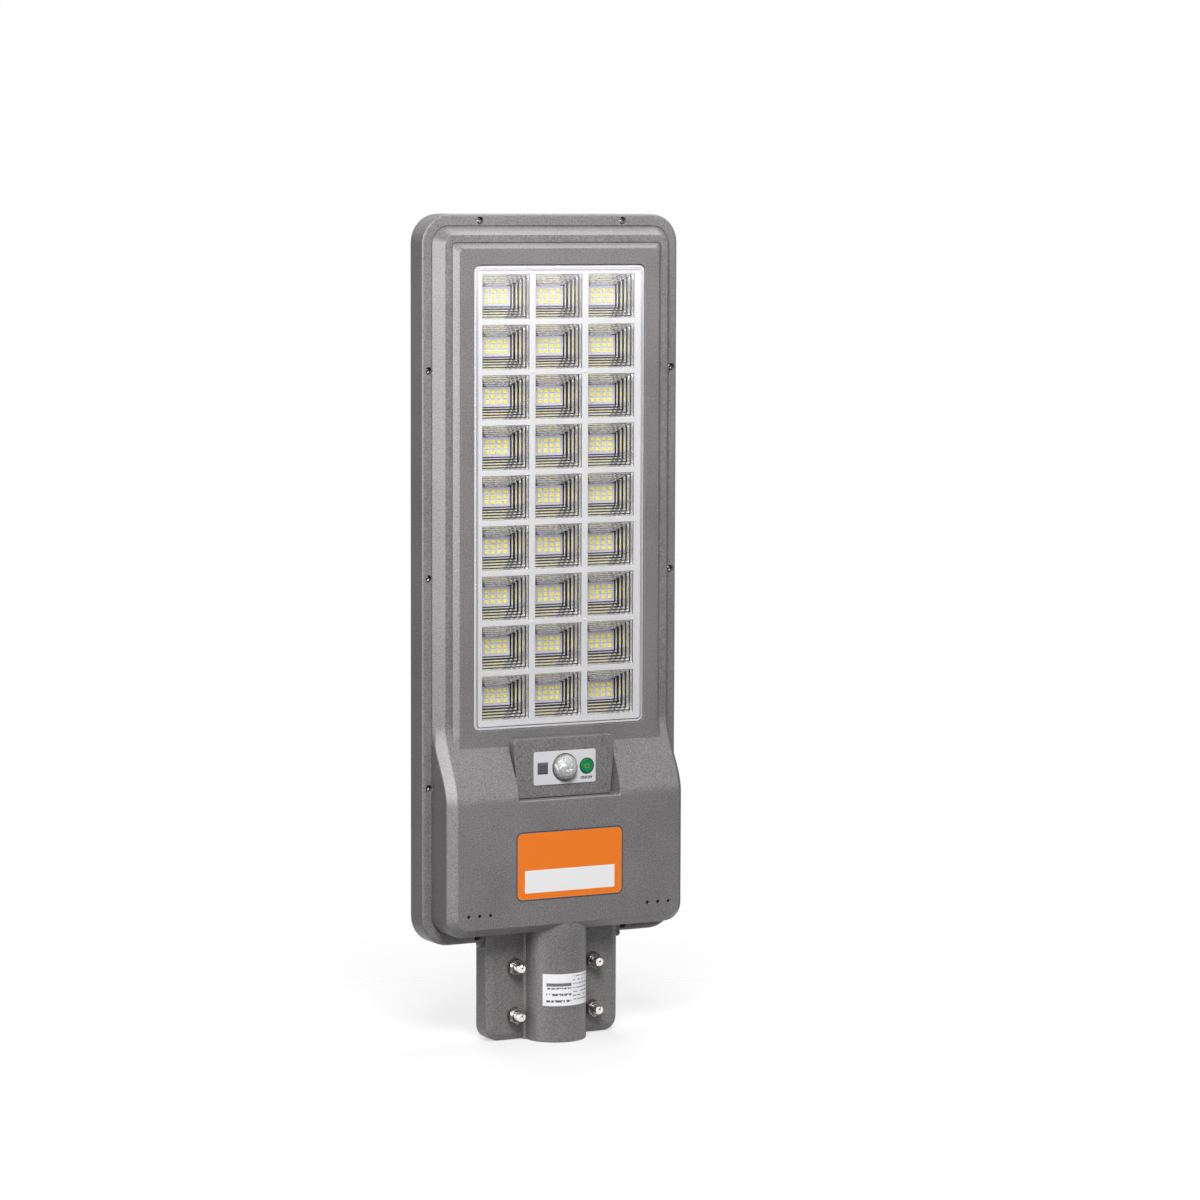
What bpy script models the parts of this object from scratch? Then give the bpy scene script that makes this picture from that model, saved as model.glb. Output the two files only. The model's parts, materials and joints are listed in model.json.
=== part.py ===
"""Head of an all-in-one solar street lamp that clamps on a 48 mm pole.

The lamp stands upright: +Z runs from the pole clamp to the far end, the LED side faces -Y, the solar
panel faces +Y. The origin is on the pole's axis at the open lower end of the neck. Metres throughout.
"""
import math

import bmesh
import bpy
from mathutils import Vector

# Clearances
SEAT_GAP = 0.0003        # between a piece and what it rests on
LAYER_GAP = 0.00025      # between the thin layers of the panel
SLIDE_GAP = 0.0005       # round a piece that drops into a pocket

# Body outline, seen from the LED side
BODY_WIDTH = 0.240
BODY_LENGTH = 0.6078
BODY_CORNER = 0.024
WALL = 0.0026
RIM_BEHIND_AXIS = 0.008  # rim plane, behind the pole's axis
SIDE_DEPTH = 0.0225      # side wall, from the rim plane back to its rear edge
RIM_ROUND = 0.0022
ROUND_SHARE = 0.3        # where the rim's rounded edge has its middle ring, as a share of its radius

# Steps of the LED side, from the outer edge inwards, and their heights over the rim plane
RIM_FLAT = 0.0088
FIRST_STEP_RUN = 0.0068
LEDGE_FLAT = 0.0068
SECOND_STEP_RUN = 0.0042
LEDGE_HEIGHT = 0.0107
FACE_HEIGHT = 0.0157
STEP_HEAD = 0.0017       # the steps' upper end lies this much further in than their sides do

# How far the hollow's sloping walls move in at the slopes' feet and tops, in wall thicknesses
FIRST_SLOPE_FOOT = 1.25
FIRST_SLOPE_TOP = 0.7
SECOND_SLOPE_FOOT = 0.9
SECOND_SLOPE_TOP = 0.6

# Battery hood over the lower end
HOOD_HEIGHT = 0.0345
HOOD_SIDE_HEIGHT = 0.0262
HOOD_RISE_START = 0.1853  # above the body's lower end, where the hood leaves the ledge
HOOD_RISE_END = 0.1203    # above the body's lower end, where the hood is at its full height
HOOD_FOOT = 0.0016       # the hood's lower end lies this much further in than the steps do
DRAIN_RADIUS = 0.0013
DRAIN_PITCH = 0.0101
DRAIN_INSET = 0.0255      # outermost drain hole, in from the body's side
DRAIN_ABOVE_END = 0.0289
DRAIN_COUNT = 3

# Lens window, reflector and LED board
LENS_WIDTH = 0.1596
LENS_BELOW_TOP = 0.0423
LENS_BELOW_RISE = 0.0042  # the lens ends this much below the start of the hood's rise
LENS_MARGIN = 0.0045      # clear edge of the lens round the cups
LENS_CORNER = 0.005
LENS_THICKNESS = 0.0020
LENS_PROUD = 0.0005
LENS_BEVEL = 0.0012
SEAT_WIDTH = 0.0045
SEAT_THICKNESS = 0.0022
SEAL_WIDTH = 0.0036
SEAL_THICKNESS = 0.0007
TRAY_FLANGE = 0.0018
TRAY_INSET = 0.0020       # reflector flange, in from the lens edge
CUP_WIDTH = 0.0437
CUP_LENGTH = 0.0368
CUP_PITCH_X = 0.0496
CUP_PITCH_Z = 0.0416
CUP_FLOOR_WIDTH = 0.0262
CUP_FLOOR_LENGTH = 0.0165
CUP_DEPTH = 0.0180
CUP_STEPS = 3
CUP_STEP_LIP = 0.25      # share of each step's inward move that its flat lip takes
CUP_STEP_GROWTH = 1.15   # above 1, the steps are deeper towards the cup's floor
CUP_WALL = 0.0012
CUP_FLOOR_WALL = 0.0008
BOARD_THICKNESS = 0.0016

# Rear frame and solar panel
FRAME_INSET = 0.0045     # frame side, in from the body's outer edge
FRAME_PROUD = 0.0050     # frame back face, behind the side wall's rear edge
FRAME_BEVEL = 0.0054
FRAME_BEVEL_DEPTH = 0.0045
FRAME_PLATE = 0.0030
FRAME_FLANGE = 0.0020
FLANGE_WIDTH = 0.0100
WINDOW_ABOVE_END = 0.0363
WINDOW_BELOW_TOP = 0.0405
WINDOW_CORNER = 0.0020
PANEL_LAP = 0.0070       # panel hidden behind the frame on every side
GLASS_THICKNESS = 0.0030
PANEL_SEAL_WIDTH = 0.0045
PANEL_SEAL_THICKNESS = 0.0008
POCKET_RIB = 0.0020
BACKSHEET_THICKNESS = 0.0005
CELL_THICKNESS = 0.0004
CELL_WIDTH = 0.15875
CELL_HEIGHT = 0.0404
CELL_GAP = 0.00275
CELL_MARGIN = 0.0050      # bare panel between the cells and the frame's window
RIBBON_COUNT = 5
RIBBON_WIDTH = 0.0018
RIBBON_PITCH = 0.0313
TERMINAL_SIZE = (0.026, 0.0042, 0.014)
TERMINAL_X = -0.050

# Housing screws and the seal between the two shells
SCREW_INSET = 0.0056
SCREW_TOP_INSET = 0.0530  # upper screws, in from the body's side
SCREW_BESIDE_NECK = 0.0070
SCREW_SIDE_BELOW_TOP = (0.1289, 0.3005, 0.4749)
SCREW_HEAD_RADIUS = 0.0028
SCREW_HEAD_HEIGHT = 0.0019
SCREW_SHANK_RADIUS = 0.0015
SCREW_LENGTH = 0.015
SCREW_SINK = 0.0034
COUNTERBORE_RADIUS = 0.0032
BOSS_RADIUS = 0.0042
POST_RADIUS = 0.0033
POST_SHIFT = 0.0006
RIB_INSET = 0.0093
RIB_WIDTH = 0.0020
GASKET_THICKNESS = 0.0006

# Sensor unit in its pocket at the top of the hood
SLAB_TOP_WIDTH = 0.0952
SLAB_END_WIDTH = 0.0890
SLAB_LENGTH = 0.0497
SLAB_ABOVE_END = 0.1229
SLAB_HEIGHT = 0.0240
SLAB_THICKNESS = 0.0020
SLAB_WALL = 0.0018
SLAB_CORNER = 0.0040
POCKET_SINK = 0.0003
POCKET_DRAFT = math.radians(7)
LABEL_WIDTH = 0.0585
LABEL_LENGTH = 0.0280
LABEL_THICKNESS = 0.0006
LABEL_CORNER = 0.0025
LABEL_ABOVE_SLAB_END = 0.0244
SENSOR_SPACING = 0.0208
DOME_RADIUS = 0.0112
DOME_RISE = 0.0098
DOME_WALL = 0.0012
DOME_FLANGE = 0.0016
MOTION_CAN_RADIUS = 0.0046
MOTION_CAN_HEIGHT = 0.0042
LIGHT_WINDOW = 0.0094
LIGHT_WINDOW_PROUD = 0.0006
BUTTON_RADIUS = 0.0060
BUTTON_PROUD = 0.0026
BUTTON_TRAVEL = 0.0018
BUTTON_FLANGE = 0.0009
BUTTON_STEM_RADIUS = 0.0020
SWITCH_SIZE = 0.0062
SWITCH_HEIGHT = 0.0040
PLUNGER_RADIUS = 0.0017
PLUNGER_HEIGHT = 0.0020
SENSOR_BOARD_WIDTH = 0.070
SENSOR_BOARD_LENGTH = 0.032
SENSOR_BOARD_DEPTH = 0.0130  # behind the slab's outer face
SLAB_POST_RADIUS = 0.0022

# Battery, its tray and the boards
BATTERY_RADIUS = 0.016
BATTERY_LENGTH = 0.070
BATTERY_PITCH = 0.0332
BATTERY_TIP_RADIUS = 0.005
BATTERY_TIP = 0.0015
TRAY_WALL = 0.0024
TRAY_FOOT = 0.0070        # tray wall under the cells, which keeps them off the hood's sloping foot
TRAY_SIDE_HEIGHT = 0.0165
TRAY_CORNER = 0.0080
HOOD_CLEARANCE = 0.0018
BMS_SIZE = (0.090, 0.034)
CONTROLLER_SIZE = (0.132, 0.060)
CONTROLLER_ABOVE_END = 0.1013
CONTROLLER_POST_RADIUS = 0.0032
CONTROLLER_POST_INSET = 0.0050
LEAD_RADIUS = 0.0016
BATTERY_LEAD_X = -0.020
LED_LEAD_X = 0.030
LED_LEAD_ABOVE_LENS_END = 0.027

# Neck and pole clamp
NECK_LENGTH = 0.084
NECK_WIDTH = 0.1246
NECK_FRONT = 0.0035      # the neck's flat front, behind the pole's axis
NECK_DEPTH = 0.0237      # the neck's rear edge, behind the pole's axis
NECK_CHAMFER = 0.0054
NECK_CHAMFER_DEPTH = 0.0026
NECK_CORNER = 0.012
NECK_WALL = 0.0030
POLE_BORE_RADIUS = 0.0241
BULGE_RADIUS = 0.0265
BULGE_FILLET = 0.0024     # where the pole cover meets the neck's flat front
SADDLE_SIDE_GAP = 0.0019
SADDLE_THICKNESS = 0.0025
SADDLE_FLANGE_Y = 0.0115  # inner face of the saddle's flanges
SADDLE_END_GAP = 0.0010
SADDLE_CORNER = 0.0080
CROWN_HOLE_RADIUS = 0.00425
CROWN_HOLE_PITCH = 0.0212
BOLT_X = 0.0370
BOLT_SPACING = 0.0412
BOLT_RADIUS = 0.0039
BOLT_LENGTH = 0.030
BOLT_HEAD_RADIUS = 0.0065
BOLT_HEAD_HEIGHT = 0.0080
BOLT_SOCKET_FLATS = 0.0060
BOLT_SOCKET_DEPTH = 0.0045
BOLT_HOLE_RADIUS = 0.0044
BOLT_BOSS_RADIUS = 0.0080
BOLT_RIB = 0.0020
NUT_FLATS = 0.0130
NUT_HEIGHT = 0.0065
WASHER_RADIUS = 0.0080
WASHER_THICKNESS = 0.0016
SPRING_RADIUS = 0.0064
SPRING_THICKNESS = 0.0020
SPRING_SPLIT = 0.0014

# Mesh fineness
CORNER_STEPS = 6
ROUND_SIDES = 16
SMALL_SIDES = 8
RISE_STATIONS = 9

# Places worked out from the sizes above
BODY_END = NECK_LENGTH
BODY_TOP = NECK_LENGTH + BODY_LENGTH
HALF_WIDTH = BODY_WIDTH / 2
RIM_Y = RIM_BEHIND_AXIS
SIDE_BACK_Y = RIM_Y + SIDE_DEPTH
FRAME_BACK_Y = SIDE_BACK_Y + FRAME_PROUD
LEDGE_Y = RIM_Y - LEDGE_HEIGHT
FACE_Y = RIM_Y - FACE_HEIGHT
HOOD_Y = RIM_Y - HOOD_HEIGHT
SLAB_Y = RIM_Y - SLAB_HEIGHT
FIRST_STEP_INSET = RIM_FLAT + FIRST_STEP_RUN
SECOND_STEP_INSET = FIRST_STEP_INSET + LEDGE_FLAT
FACE_INSET = SECOND_STEP_INSET + SECOND_STEP_RUN
RISE_START_Z = BODY_END + HOOD_RISE_START
RISE_END_Z = BODY_END + HOOD_RISE_END
CUT_SPARE = 0.002        # how far a cutter reaches past the face that it opens

# The lens stack, from its outer face inwards
LENS_TOP = BODY_TOP - LENS_BELOW_TOP
LENS_END = RISE_START_Z - LENS_BELOW_RISE
LENS_MIDDLE = (LENS_TOP + LENS_END) / 2
CUP_COLUMNS = int((LENS_WIDTH - 2 * LENS_MARGIN) / CUP_PITCH_X)
CUP_ROWS = int((LENS_TOP - LENS_END - 2 * LENS_MARGIN) / CUP_PITCH_Z)
LENS_FRONT_Y = FACE_Y - LENS_PROUD
LENS_BACK_Y = LENS_FRONT_Y + LENS_THICKNESS
LENS_SEAL_Y = LENS_BACK_Y + SEAT_GAP
TRAY_Y = LENS_SEAL_Y + SEAL_THICKNESS + SEAT_GAP
SEAT_Y = TRAY_Y + TRAY_FLANGE + SEAT_GAP
CUP_FLOOR_Y = TRAY_Y + CUP_DEPTH
BOARD_Y = CUP_FLOOR_Y + SEAT_GAP
BOARD_BACK_Y = BOARD_Y + BOARD_THICKNESS

# The joint between the shells and the panel stack, from the inside outwards
GASKET_SEAT_Y = SIDE_BACK_Y - FRAME_FLANGE - GASKET_THICKNESS - 2 * SEAT_GAP - FRAME_BEVEL_DEPTH
GASKET_Y = GASKET_SEAT_Y + SEAT_GAP
FLANGE_Y = GASKET_Y + GASKET_THICKNESS + SEAT_GAP
LIP_Y = FRAME_BACK_Y - FRAME_PLATE
PANEL_SEAL_Y = LIP_Y - SEAT_GAP - PANEL_SEAL_THICKNESS
GLASS_BACK_Y = PANEL_SEAL_Y - SEAT_GAP
GLASS_Y = GLASS_BACK_Y - GLASS_THICKNESS
CELL_Y = GLASS_Y - LAYER_GAP - CELL_THICKNESS
BACKSHEET_Y = CELL_Y - LAYER_GAP - BACKSHEET_THICKNESS
WINDOW_END = BODY_END + WINDOW_ABOVE_END
WINDOW_TOP = BODY_TOP - WINDOW_BELOW_TOP
WINDOW_MIDDLE = (WINDOW_END + WINDOW_TOP) / 2
WINDOW_WIDTH = CELL_WIDTH + 2 * CELL_MARGIN
CELL_COUNT = int((WINDOW_TOP - WINDOW_END - 2 * CELL_MARGIN + CELL_GAP) / (CELL_HEIGHT + CELL_GAP))

# The sensor unit, from its face inwards
SLAB_END = BODY_END + SLAB_ABOVE_END
SLAB_TOP = SLAB_END + SLAB_LENGTH
SLAB_INNER_Y = SLAB_Y + SLAB_THICKNESS
POCKET_Y = FACE_Y + POCKET_SINK
SENSOR_Z = SLAB_END + LABEL_ABOVE_SLAB_END
SENSOR_BOARD_Y = SLAB_Y + SENSOR_BOARD_DEPTH
LABEL_Y = SLAB_Y - SEAT_GAP - LABEL_THICKNESS
SWITCH_Y = SENSOR_BOARD_Y - SEAT_GAP - SWITCH_HEIGHT
PLUNGER_Y = SWITCH_Y - PLUNGER_HEIGHT

# The battery tray and the boards behind it
TRAY_END = BODY_END + RIM_FLAT + HOOD_FOOT + FIRST_SLOPE_FOOT * WALL + SEAT_GAP
BATTERY_Z = TRAY_END + TRAY_FOOT + SEAT_GAP
BATTERY_Y = HOOD_Y + WALL + HOOD_CLEARANCE + BATTERY_RADIUS
TRAY_BASE_Y = BATTERY_Y + BATTERY_RADIUS + SEAT_GAP
TRAY_BACK_Y = TRAY_BASE_Y + TRAY_WALL
BATTERY_TOP = BATTERY_Z + BATTERY_LENGTH
HOOD_ROOM = BODY_WIDTH - 2 * (FIRST_STEP_INSET + FIRST_SLOPE_TOP * WALL)
BATTERY_COUNT = int((HOOD_ROOM - 2 * (TRAY_WALL + SEAT_GAP)) / BATTERY_PITCH)
TRAY_TOP = BATTERY_TOP + SEAT_GAP + TRAY_WALL
BMS_Y = TRAY_BACK_Y + SEAT_GAP
BMS_Z = (TRAY_END + TRAY_TOP) / 2
CONTROLLER_Y = BMS_Y
CONTROLLER_Z = BODY_END + CONTROLLER_ABOVE_END + CONTROLLER_SIZE[1] / 2

# The clamp
BOLT_LOW_Z = (NECK_LENGTH - BOLT_SPACING) / 2
BOLT_PLACES = [(x, BOLT_LOW_Z + row * BOLT_SPACING) for row in (1, 0) for x in (-BOLT_X, BOLT_X)]
SADDLE_WIDTH = NECK_WIDTH - 2 * (NECK_WALL + SADDLE_SIDE_GAP)
SADDLE_BACK_Y = SADDLE_FLANGE_Y + SADDLE_THICKNESS
WASHER_Y = SADDLE_BACK_Y + SEAT_GAP
SPRING_Y = WASHER_Y + WASHER_THICKNESS + SEAT_GAP
BOLT_HEAD_Y = SPRING_Y + SPRING_THICKNESS + SEAT_GAP


def clear_scene():
    """Remove every object of the scene."""
    for item in list(bpy.data.objects):
        bpy.data.objects.remove(item, do_unlink=True)


def make_material(name, color, roughness, metallic=0.0, alpha=1.0):
    """Make one plain Principled material."""
    material = bpy.data.materials.new(name)
    material.use_nodes = True
    shader = material.node_tree.nodes["Principled BSDF"]
    shader.inputs["Base Color"].default_value = (*color, 1.0)
    shader.inputs["Roughness"].default_value = roughness
    shader.inputs["Metallic"].default_value = metallic
    shader.inputs["Alpha"].default_value = alpha
    material.diffuse_color = (*color, alpha)
    return material


def add_object(name, mesh_data, material=None, smooth=math.radians(30), place=(0.0, 0.0, 0.0)):
    """Turn a bmesh into a named object with clean outward faces."""
    bmesh.ops.remove_doubles(mesh_data, verts=mesh_data.verts, dist=1e-7)
    bmesh.ops.recalc_face_normals(mesh_data, faces=mesh_data.faces)
    mesh = bpy.data.meshes.new(name)
    mesh_data.to_mesh(mesh)
    mesh_data.free()
    if material is not None:
        mesh.materials.append(material)
    mesh.shade_smooth()
    mesh.set_sharp_from_angle(angle=smooth)
    item = bpy.data.objects.new(name, mesh)
    item.location = place
    bpy.context.scene.collection.objects.link(item)
    return item


def combine(target, others, operation):
    """Union others with target, or cut them from it, in one step, and drop them."""
    group = bpy.data.collections.new("operands")
    for other in others:
        group.objects.link(other)
        other.display_type = "WIRE"
        other.hide_render = True
    modifier = target.modifiers.new(operation, "BOOLEAN")
    modifier.operation = operation
    modifier.solver = "EXACT"
    modifier.operand_type = "COLLECTION"
    modifier.collection = group
    graph = bpy.context.evaluated_depsgraph_get()
    result = bpy.data.meshes.new_from_object(target.evaluated_get(graph))
    target.modifiers.clear()
    spent = target.data
    target.data = result
    bpy.data.meshes.remove(spent)
    for other in others:
        bpy.data.objects.remove(other, do_unlink=True)
    bpy.data.collections.remove(group)
    target.data.shade_smooth()
    target.data.set_sharp_from_angle(angle=math.radians(30))
    return target


def rounded_outline(half_width, low, high, radius, stations=(), steps=CORNER_STEPS):
    """List an upright rounded rectangle's (x, z) points, with extra points at the given heights.

    Both long sides carry the same heights, so left and right points pair up by height.
    """
    def arc(center_x, center_z, start):
        for step in range(steps + 1):
            angle = math.radians(start + 90.0 * step / steps)
            yield center_x + radius * math.cos(angle), center_z + radius * math.sin(angle)

    inner = half_width - radius
    inside = [z for z in stations if low + radius < z < high - radius]
    right = list(arc(inner, low + radius, -90)) + [(half_width, z) for z in sorted(inside)]
    right += list(arc(inner, high - radius, 0))
    left = [(-x, z) for x, z in reversed(right)]
    return right + left


def loft(rings, close_ends=True):
    """Skin rings of (x, y, z) points that have the same count, and cap the two ends."""
    mesh_data = bmesh.new()
    rows = [[mesh_data.verts.new(point) for point in ring] for ring in rings]
    count = len(rows[0])
    for lower, upper in zip(rows, rows[1:]):
        for index in range(count):
            after = (index + 1) % count
            mesh_data.faces.new((lower[index], lower[after], upper[after], upper[index]))
    if close_ends:
        mesh_data.faces.new(rows[0])
        mesh_data.faces.new(rows[-1])
    else:
        for index in range(count):
            after = (index + 1) % count
            mesh_data.faces.new((rows[-1][index], rows[-1][after], rows[0][after], rows[0][index]))
    return mesh_data


def at_depth(outline, y):
    """Lift an outline of (x, z) points to the depth y."""
    return [(x, y, z) for x, z in outline]


def plate(name, outline, front_y, back_y, material=None):
    """Make a flat plate of the given outline."""
    return add_object(name, loft([at_depth(outline, front_y), at_depth(outline, back_y)]), material)


def ring_plate(name, outer, inner, front_y, back_y, material=None):
    """Make a flat ring between two outlines that have the same point count."""
    rings = [at_depth(outer, front_y), at_depth(outer, back_y)]
    rings += [at_depth(inner, back_y), at_depth(inner, front_y)]
    return add_object(name, loft(rings, close_ends=False), material)


def box(name, low, high, material=None):
    """Make a box between two corners."""
    outline = [(low[0], low[2]), (high[0], low[2]), (high[0], high[2]), (low[0], high[2])]
    return plate(name, outline, low[1], high[1], material)


def polygon(radius, sides, center=(0.0, 0.0), turn=0.0):
    """List a regular polygon's (x, z) points."""
    points = []
    for side in range(sides):
        angle = turn + 2 * math.pi * side / sides
        points.append((center[0] + radius * math.cos(angle), center[1] + radius * math.sin(angle)))
    return points


def peg(name, center, radius, front_y, back_y, sides=ROUND_SIDES, material=None):
    """Make a round peg along Y at an (x, z) centre."""
    return plate(name, polygon(radius, sides, center), front_y, back_y, material)


def turned(profile, sides=ROUND_SIDES):
    """Turn a profile of (radius, y) points about the Y axis and cap its two ends."""
    return loft([at_depth(polygon(radius, sides), y) for radius, y in profile])


def upright_turned(profile, sides=ROUND_SIDES):
    """Turn a profile of (radius, z) points about the Z axis and cap its two ends."""
    return loft([[(x, y, z) for x, y in polygon(radius, sides)] for radius, z in profile])


def tube_along(name, points, radius, material):
    """Make a round lead along a smooth path through the given points."""
    route = smooth_route([Vector(point) for point in points])
    curve = bpy.data.curves.new(name, "CURVE")
    curve.dimensions = "3D"
    curve.bevel_depth = radius
    curve.bevel_resolution = 2
    curve.use_fill_caps = True
    spline = curve.splines.new("POLY")
    spline.points.add(len(route) - 1)
    for target, point in zip(spline.points, route):
        target.co = (*point, 1.0)
    curve.materials.append(material)
    item = bpy.data.objects.new(name, curve)
    bpy.context.scene.collection.objects.link(item)
    return item


def smooth_route(points, steps=2):
    """Read points from a Catmull-Rom curve through the route's own points."""
    padded = [2 * points[0] - points[1]] + points + [2 * points[-1] - points[-2]]
    route = []
    for before, start, end, after in zip(padded, padded[1:], padded[2:], padded[3:]):
        for step in range(steps):
            t = step / steps
            bend = 2 * start + (end - before) * t
            bend += (2 * before - 5 * start + 4 * end - after) * t ** 2
            bend += (3 * start - before - 3 * end + after) * t ** 3
            route.append(bend / 2)
    route.append(points[-1])
    return route


def hood_share(z):
    """Give how much of its full rise the hood has at a height: 0 on the ledge, 1 on its flat face."""
    t = min(1.0, max(0.0, (RISE_START_Z - z) / (RISE_START_Z - RISE_END_Z)))
    return t * t * (3 - 2 * t)


def hood_top(z):
    """Give the height of the ledge or hood over the rim plane."""
    return LEDGE_HEIGHT + (HOOD_HEIGHT - LEDGE_HEIGHT) * hood_share(z)


def hood_side(z):
    """Give the height of the hood's upright side over the rim plane."""
    return HOOD_SIDE_HEIGHT * hood_share(z)


def rise_stations():
    """List the heights at which the hood's S-shaped rise is sampled."""
    span = RISE_START_Z - RISE_END_Z
    return [RISE_END_Z + span * step / (RISE_STATIONS - 1) for step in range(RISE_STATIONS)]


def body_outline(inset, foot=0.0, head=0.0, stations=()):
    """List the body's outline moved inwards; foot and head draw its two ends in further."""
    radius = max(BODY_CORNER - inset, BODY_CORNER / 8)
    low, high = BODY_END + inset + foot, BODY_TOP - inset - head
    return rounded_outline(HALF_WIDTH - inset, low, high, radius, stations)


def rib_outlines():
    """List the outer and inner outline of the seal rib."""
    outlines = []
    for inset in (RIB_INSET, RIB_INSET + RIB_WIDTH):
        radius = BODY_CORNER - inset + RIB_WIDTH / 2
        outlines.append(rounded_outline(HALF_WIDTH - inset, BODY_END + inset, BODY_TOP - inset, radius))
    return outlines


def body_solid(name, wall, back_y):
    """Make the stepped body with its hood, as a solid moved inwards by a wall thickness."""
    rim_y = RIM_Y + wall
    round_off = RIM_ROUND if wall == 0 else RIM_ROUND / 2
    stations = rise_stations()
    rim = body_outline(wall, stations=stations)
    base = body_outline(RIM_FLAT + FIRST_SLOPE_FOOT * wall, HOOD_FOOT, STEP_HEAD, stations)
    top = body_outline(FIRST_STEP_INSET + FIRST_SLOPE_TOP * wall, HOOD_FOOT, STEP_HEAD, stations)
    rings = [at_depth(rim, back_y), at_depth(rim, rim_y + round_off)]
    for share, lift in ((ROUND_SHARE, ROUND_SHARE), (1.0, 0.0)):
        edge = body_outline(wall + share * round_off, stations=stations)
        rings.append(at_depth(edge, rim_y + lift * round_off))
    rings.append(at_depth(base, rim_y))
    rings.append([(x, rim_y - hood_side(z), z) for x, z in base])
    rings.append([(x, rim_y - hood_top(z), z) for x, z in top])

    mesh_data = bmesh.new()
    rows = [[mesh_data.verts.new(point) for point in ring] for ring in rings]
    count = len(rim)
    mesh_data.faces.new(rows[0])
    for lower, upper in zip(rows, rows[1:]):
        for index in range(count):
            after = (index + 1) % count
            mesh_data.faces.new((lower[index], lower[after], upper[after], upper[index]))
    crown = rows[-1]
    for index in range(count // 2 - 1):
        partner = count - 1 - index
        mesh_data.faces.new((crown[index], crown[index + 1], crown[partner - 1], crown[partner]))
    return add_object(name, mesh_data)


def face_solid(name, wall):
    """Make the raised main face over the ledge; its lower end is lost in the hood."""
    low = (RISE_START_Z + RISE_END_Z) / 2
    insets = (SECOND_STEP_INSET + SECOND_SLOPE_FOOT * wall, FACE_INSET + SECOND_SLOPE_TOP * wall)
    outlines = []
    for inset in insets:
        radius = max(BODY_CORNER - inset, BODY_CORNER / 6)
        outlines.append(rounded_outline(HALF_WIDTH - inset, low, BODY_TOP - STEP_HEAD - inset, radius))
    rings = [at_depth(outlines[0], LEDGE_Y + wall + CUT_SPARE), at_depth(outlines[0], LEDGE_Y + wall)]
    rings.append(at_depth(outlines[1], FACE_Y + wall))
    return add_object(name, loft(rings))


def lens_outline(grow=0.0):
    """List the lens outline, grown or shrunk."""
    radius = max(LENS_CORNER + grow, LENS_CORNER / 3)
    return rounded_outline(LENS_WIDTH / 2 + grow, LENS_END - grow, LENS_TOP + grow, radius)


def slab_outline(grow=0.0, end_grow=0.0):
    """List the sensor slab's tapered outline with rounded corners at its upper end."""
    top, end = SLAB_TOP_WIDTH / 2 + grow, SLAB_END_WIDTH / 2 + grow
    low, high = SLAB_END - end_grow, SLAB_TOP + grow
    outline = [(end, low)]
    for step in range(CORNER_STEPS + 1):
        angle = math.radians(90.0 * step / CORNER_STEPS)
        x = top - SLAB_CORNER * (1 - math.cos(angle))
        outline.append((x, high - SLAB_CORNER * (1 - math.sin(angle))))
    return outline + [(-x, z) for x, z in reversed(outline)]


def screw_places():
    """List the housing screws' (x, z) places, with the unit direction from each to the body's middle."""
    side_x = HALF_WIDTH - SCREW_INSET
    top_x, end_x = HALF_WIDTH - SCREW_TOP_INSET, NECK_WIDTH / 2 + SCREW_BESIDE_NECK
    places = [((x, BODY_TOP - SCREW_INSET), (0, -1)) for x in (-top_x, top_x)]
    for below in SCREW_SIDE_BELOW_TOP:
        places += [((-side_x, BODY_TOP - below), (1, 0)), ((side_x, BODY_TOP - below), (-1, 0))]
    places += [((x, BODY_END + SCREW_INSET), (0, 1)) for x in (-end_x, end_x)]
    return places


def controller_post_places():
    """List the (x, z) places of the posts that carry the controller board."""
    half_x = CONTROLLER_SIZE[0] / 2 - CONTROLLER_POST_INSET
    half_z = CONTROLLER_SIZE[1] / 2 - CONTROLLER_POST_INSET
    return [(x, CONTROLLER_Z + z) for x in (-half_x, half_x) for z in (-half_z, half_z)]


def neck_solid():
    """Make the neck's outer box with its chamfered front, joined to the half-round pole cover."""
    high = BODY_END + RIM_FLAT + HOOD_FOOT + WALL
    half = NECK_WIDTH / 2

    def outline(inset):
        radius = NECK_CORNER - inset
        points = [(half - inset, high)]
        for step in range(CORNER_STEPS + 1):
            angle = math.radians(-90.0 * step / CORNER_STEPS)
            x = half - inset - radius * (1 - math.cos(angle))
            points.append((x, inset + radius * (1 + math.sin(angle))))
        return points + [(-x, z) for x, z in reversed(points)]

    rings = [at_depth(outline(NECK_CHAMFER), NECK_FRONT)]
    rings += [at_depth(outline(0.0), y) for y in (NECK_FRONT + NECK_CHAMFER_DEPTH, NECK_DEPTH)]
    neck = add_object("neck", loft(rings))
    return combine(neck, [pole_cover()], "UNION")


def pole_cover():
    """Make the half-round cover over the pole, with a fillet where it leaves the neck's flat front."""
    high = BODY_END + FIRST_STEP_INSET + HOOD_FOOT + WALL
    foot = BULGE_RADIUS + BULGE_FILLET
    side = [(foot, NECK_FRONT + NECK_WALL / 2)]
    for step in range(CORNER_STEPS + 1):
        angle = math.radians(90.0 * step / CORNER_STEPS)
        y = NECK_FRONT - BULGE_FILLET * (1 - math.cos(angle))
        side.append((foot - BULGE_FILLET * math.sin(angle), y))
    arc = [math.pi * step / ROUND_SIDES for step in range(ROUND_SIDES + 1)]
    crown = [(BULGE_RADIUS * math.cos(angle), -BULGE_RADIUS * math.sin(angle)) for angle in arc]
    outline = side + crown + [(-x, y) for x, y in reversed(side)]
    return add_object("pole_cover", loft([[(x, y, z) for x, y in outline] for z in (0.0, high)]))


def upright_round(name, radius, low, high, sides):
    """Make an upright round solid on the pole's axis."""
    turn = math.pi / sides
    ring = [(x, z) for x, z in polygon(radius, sides, turn=turn)]
    rings = [[(x, y, low) for x, y in ring], [(x, y, high) for x, y in ring]]
    return add_object(name, loft(rings))


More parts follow.
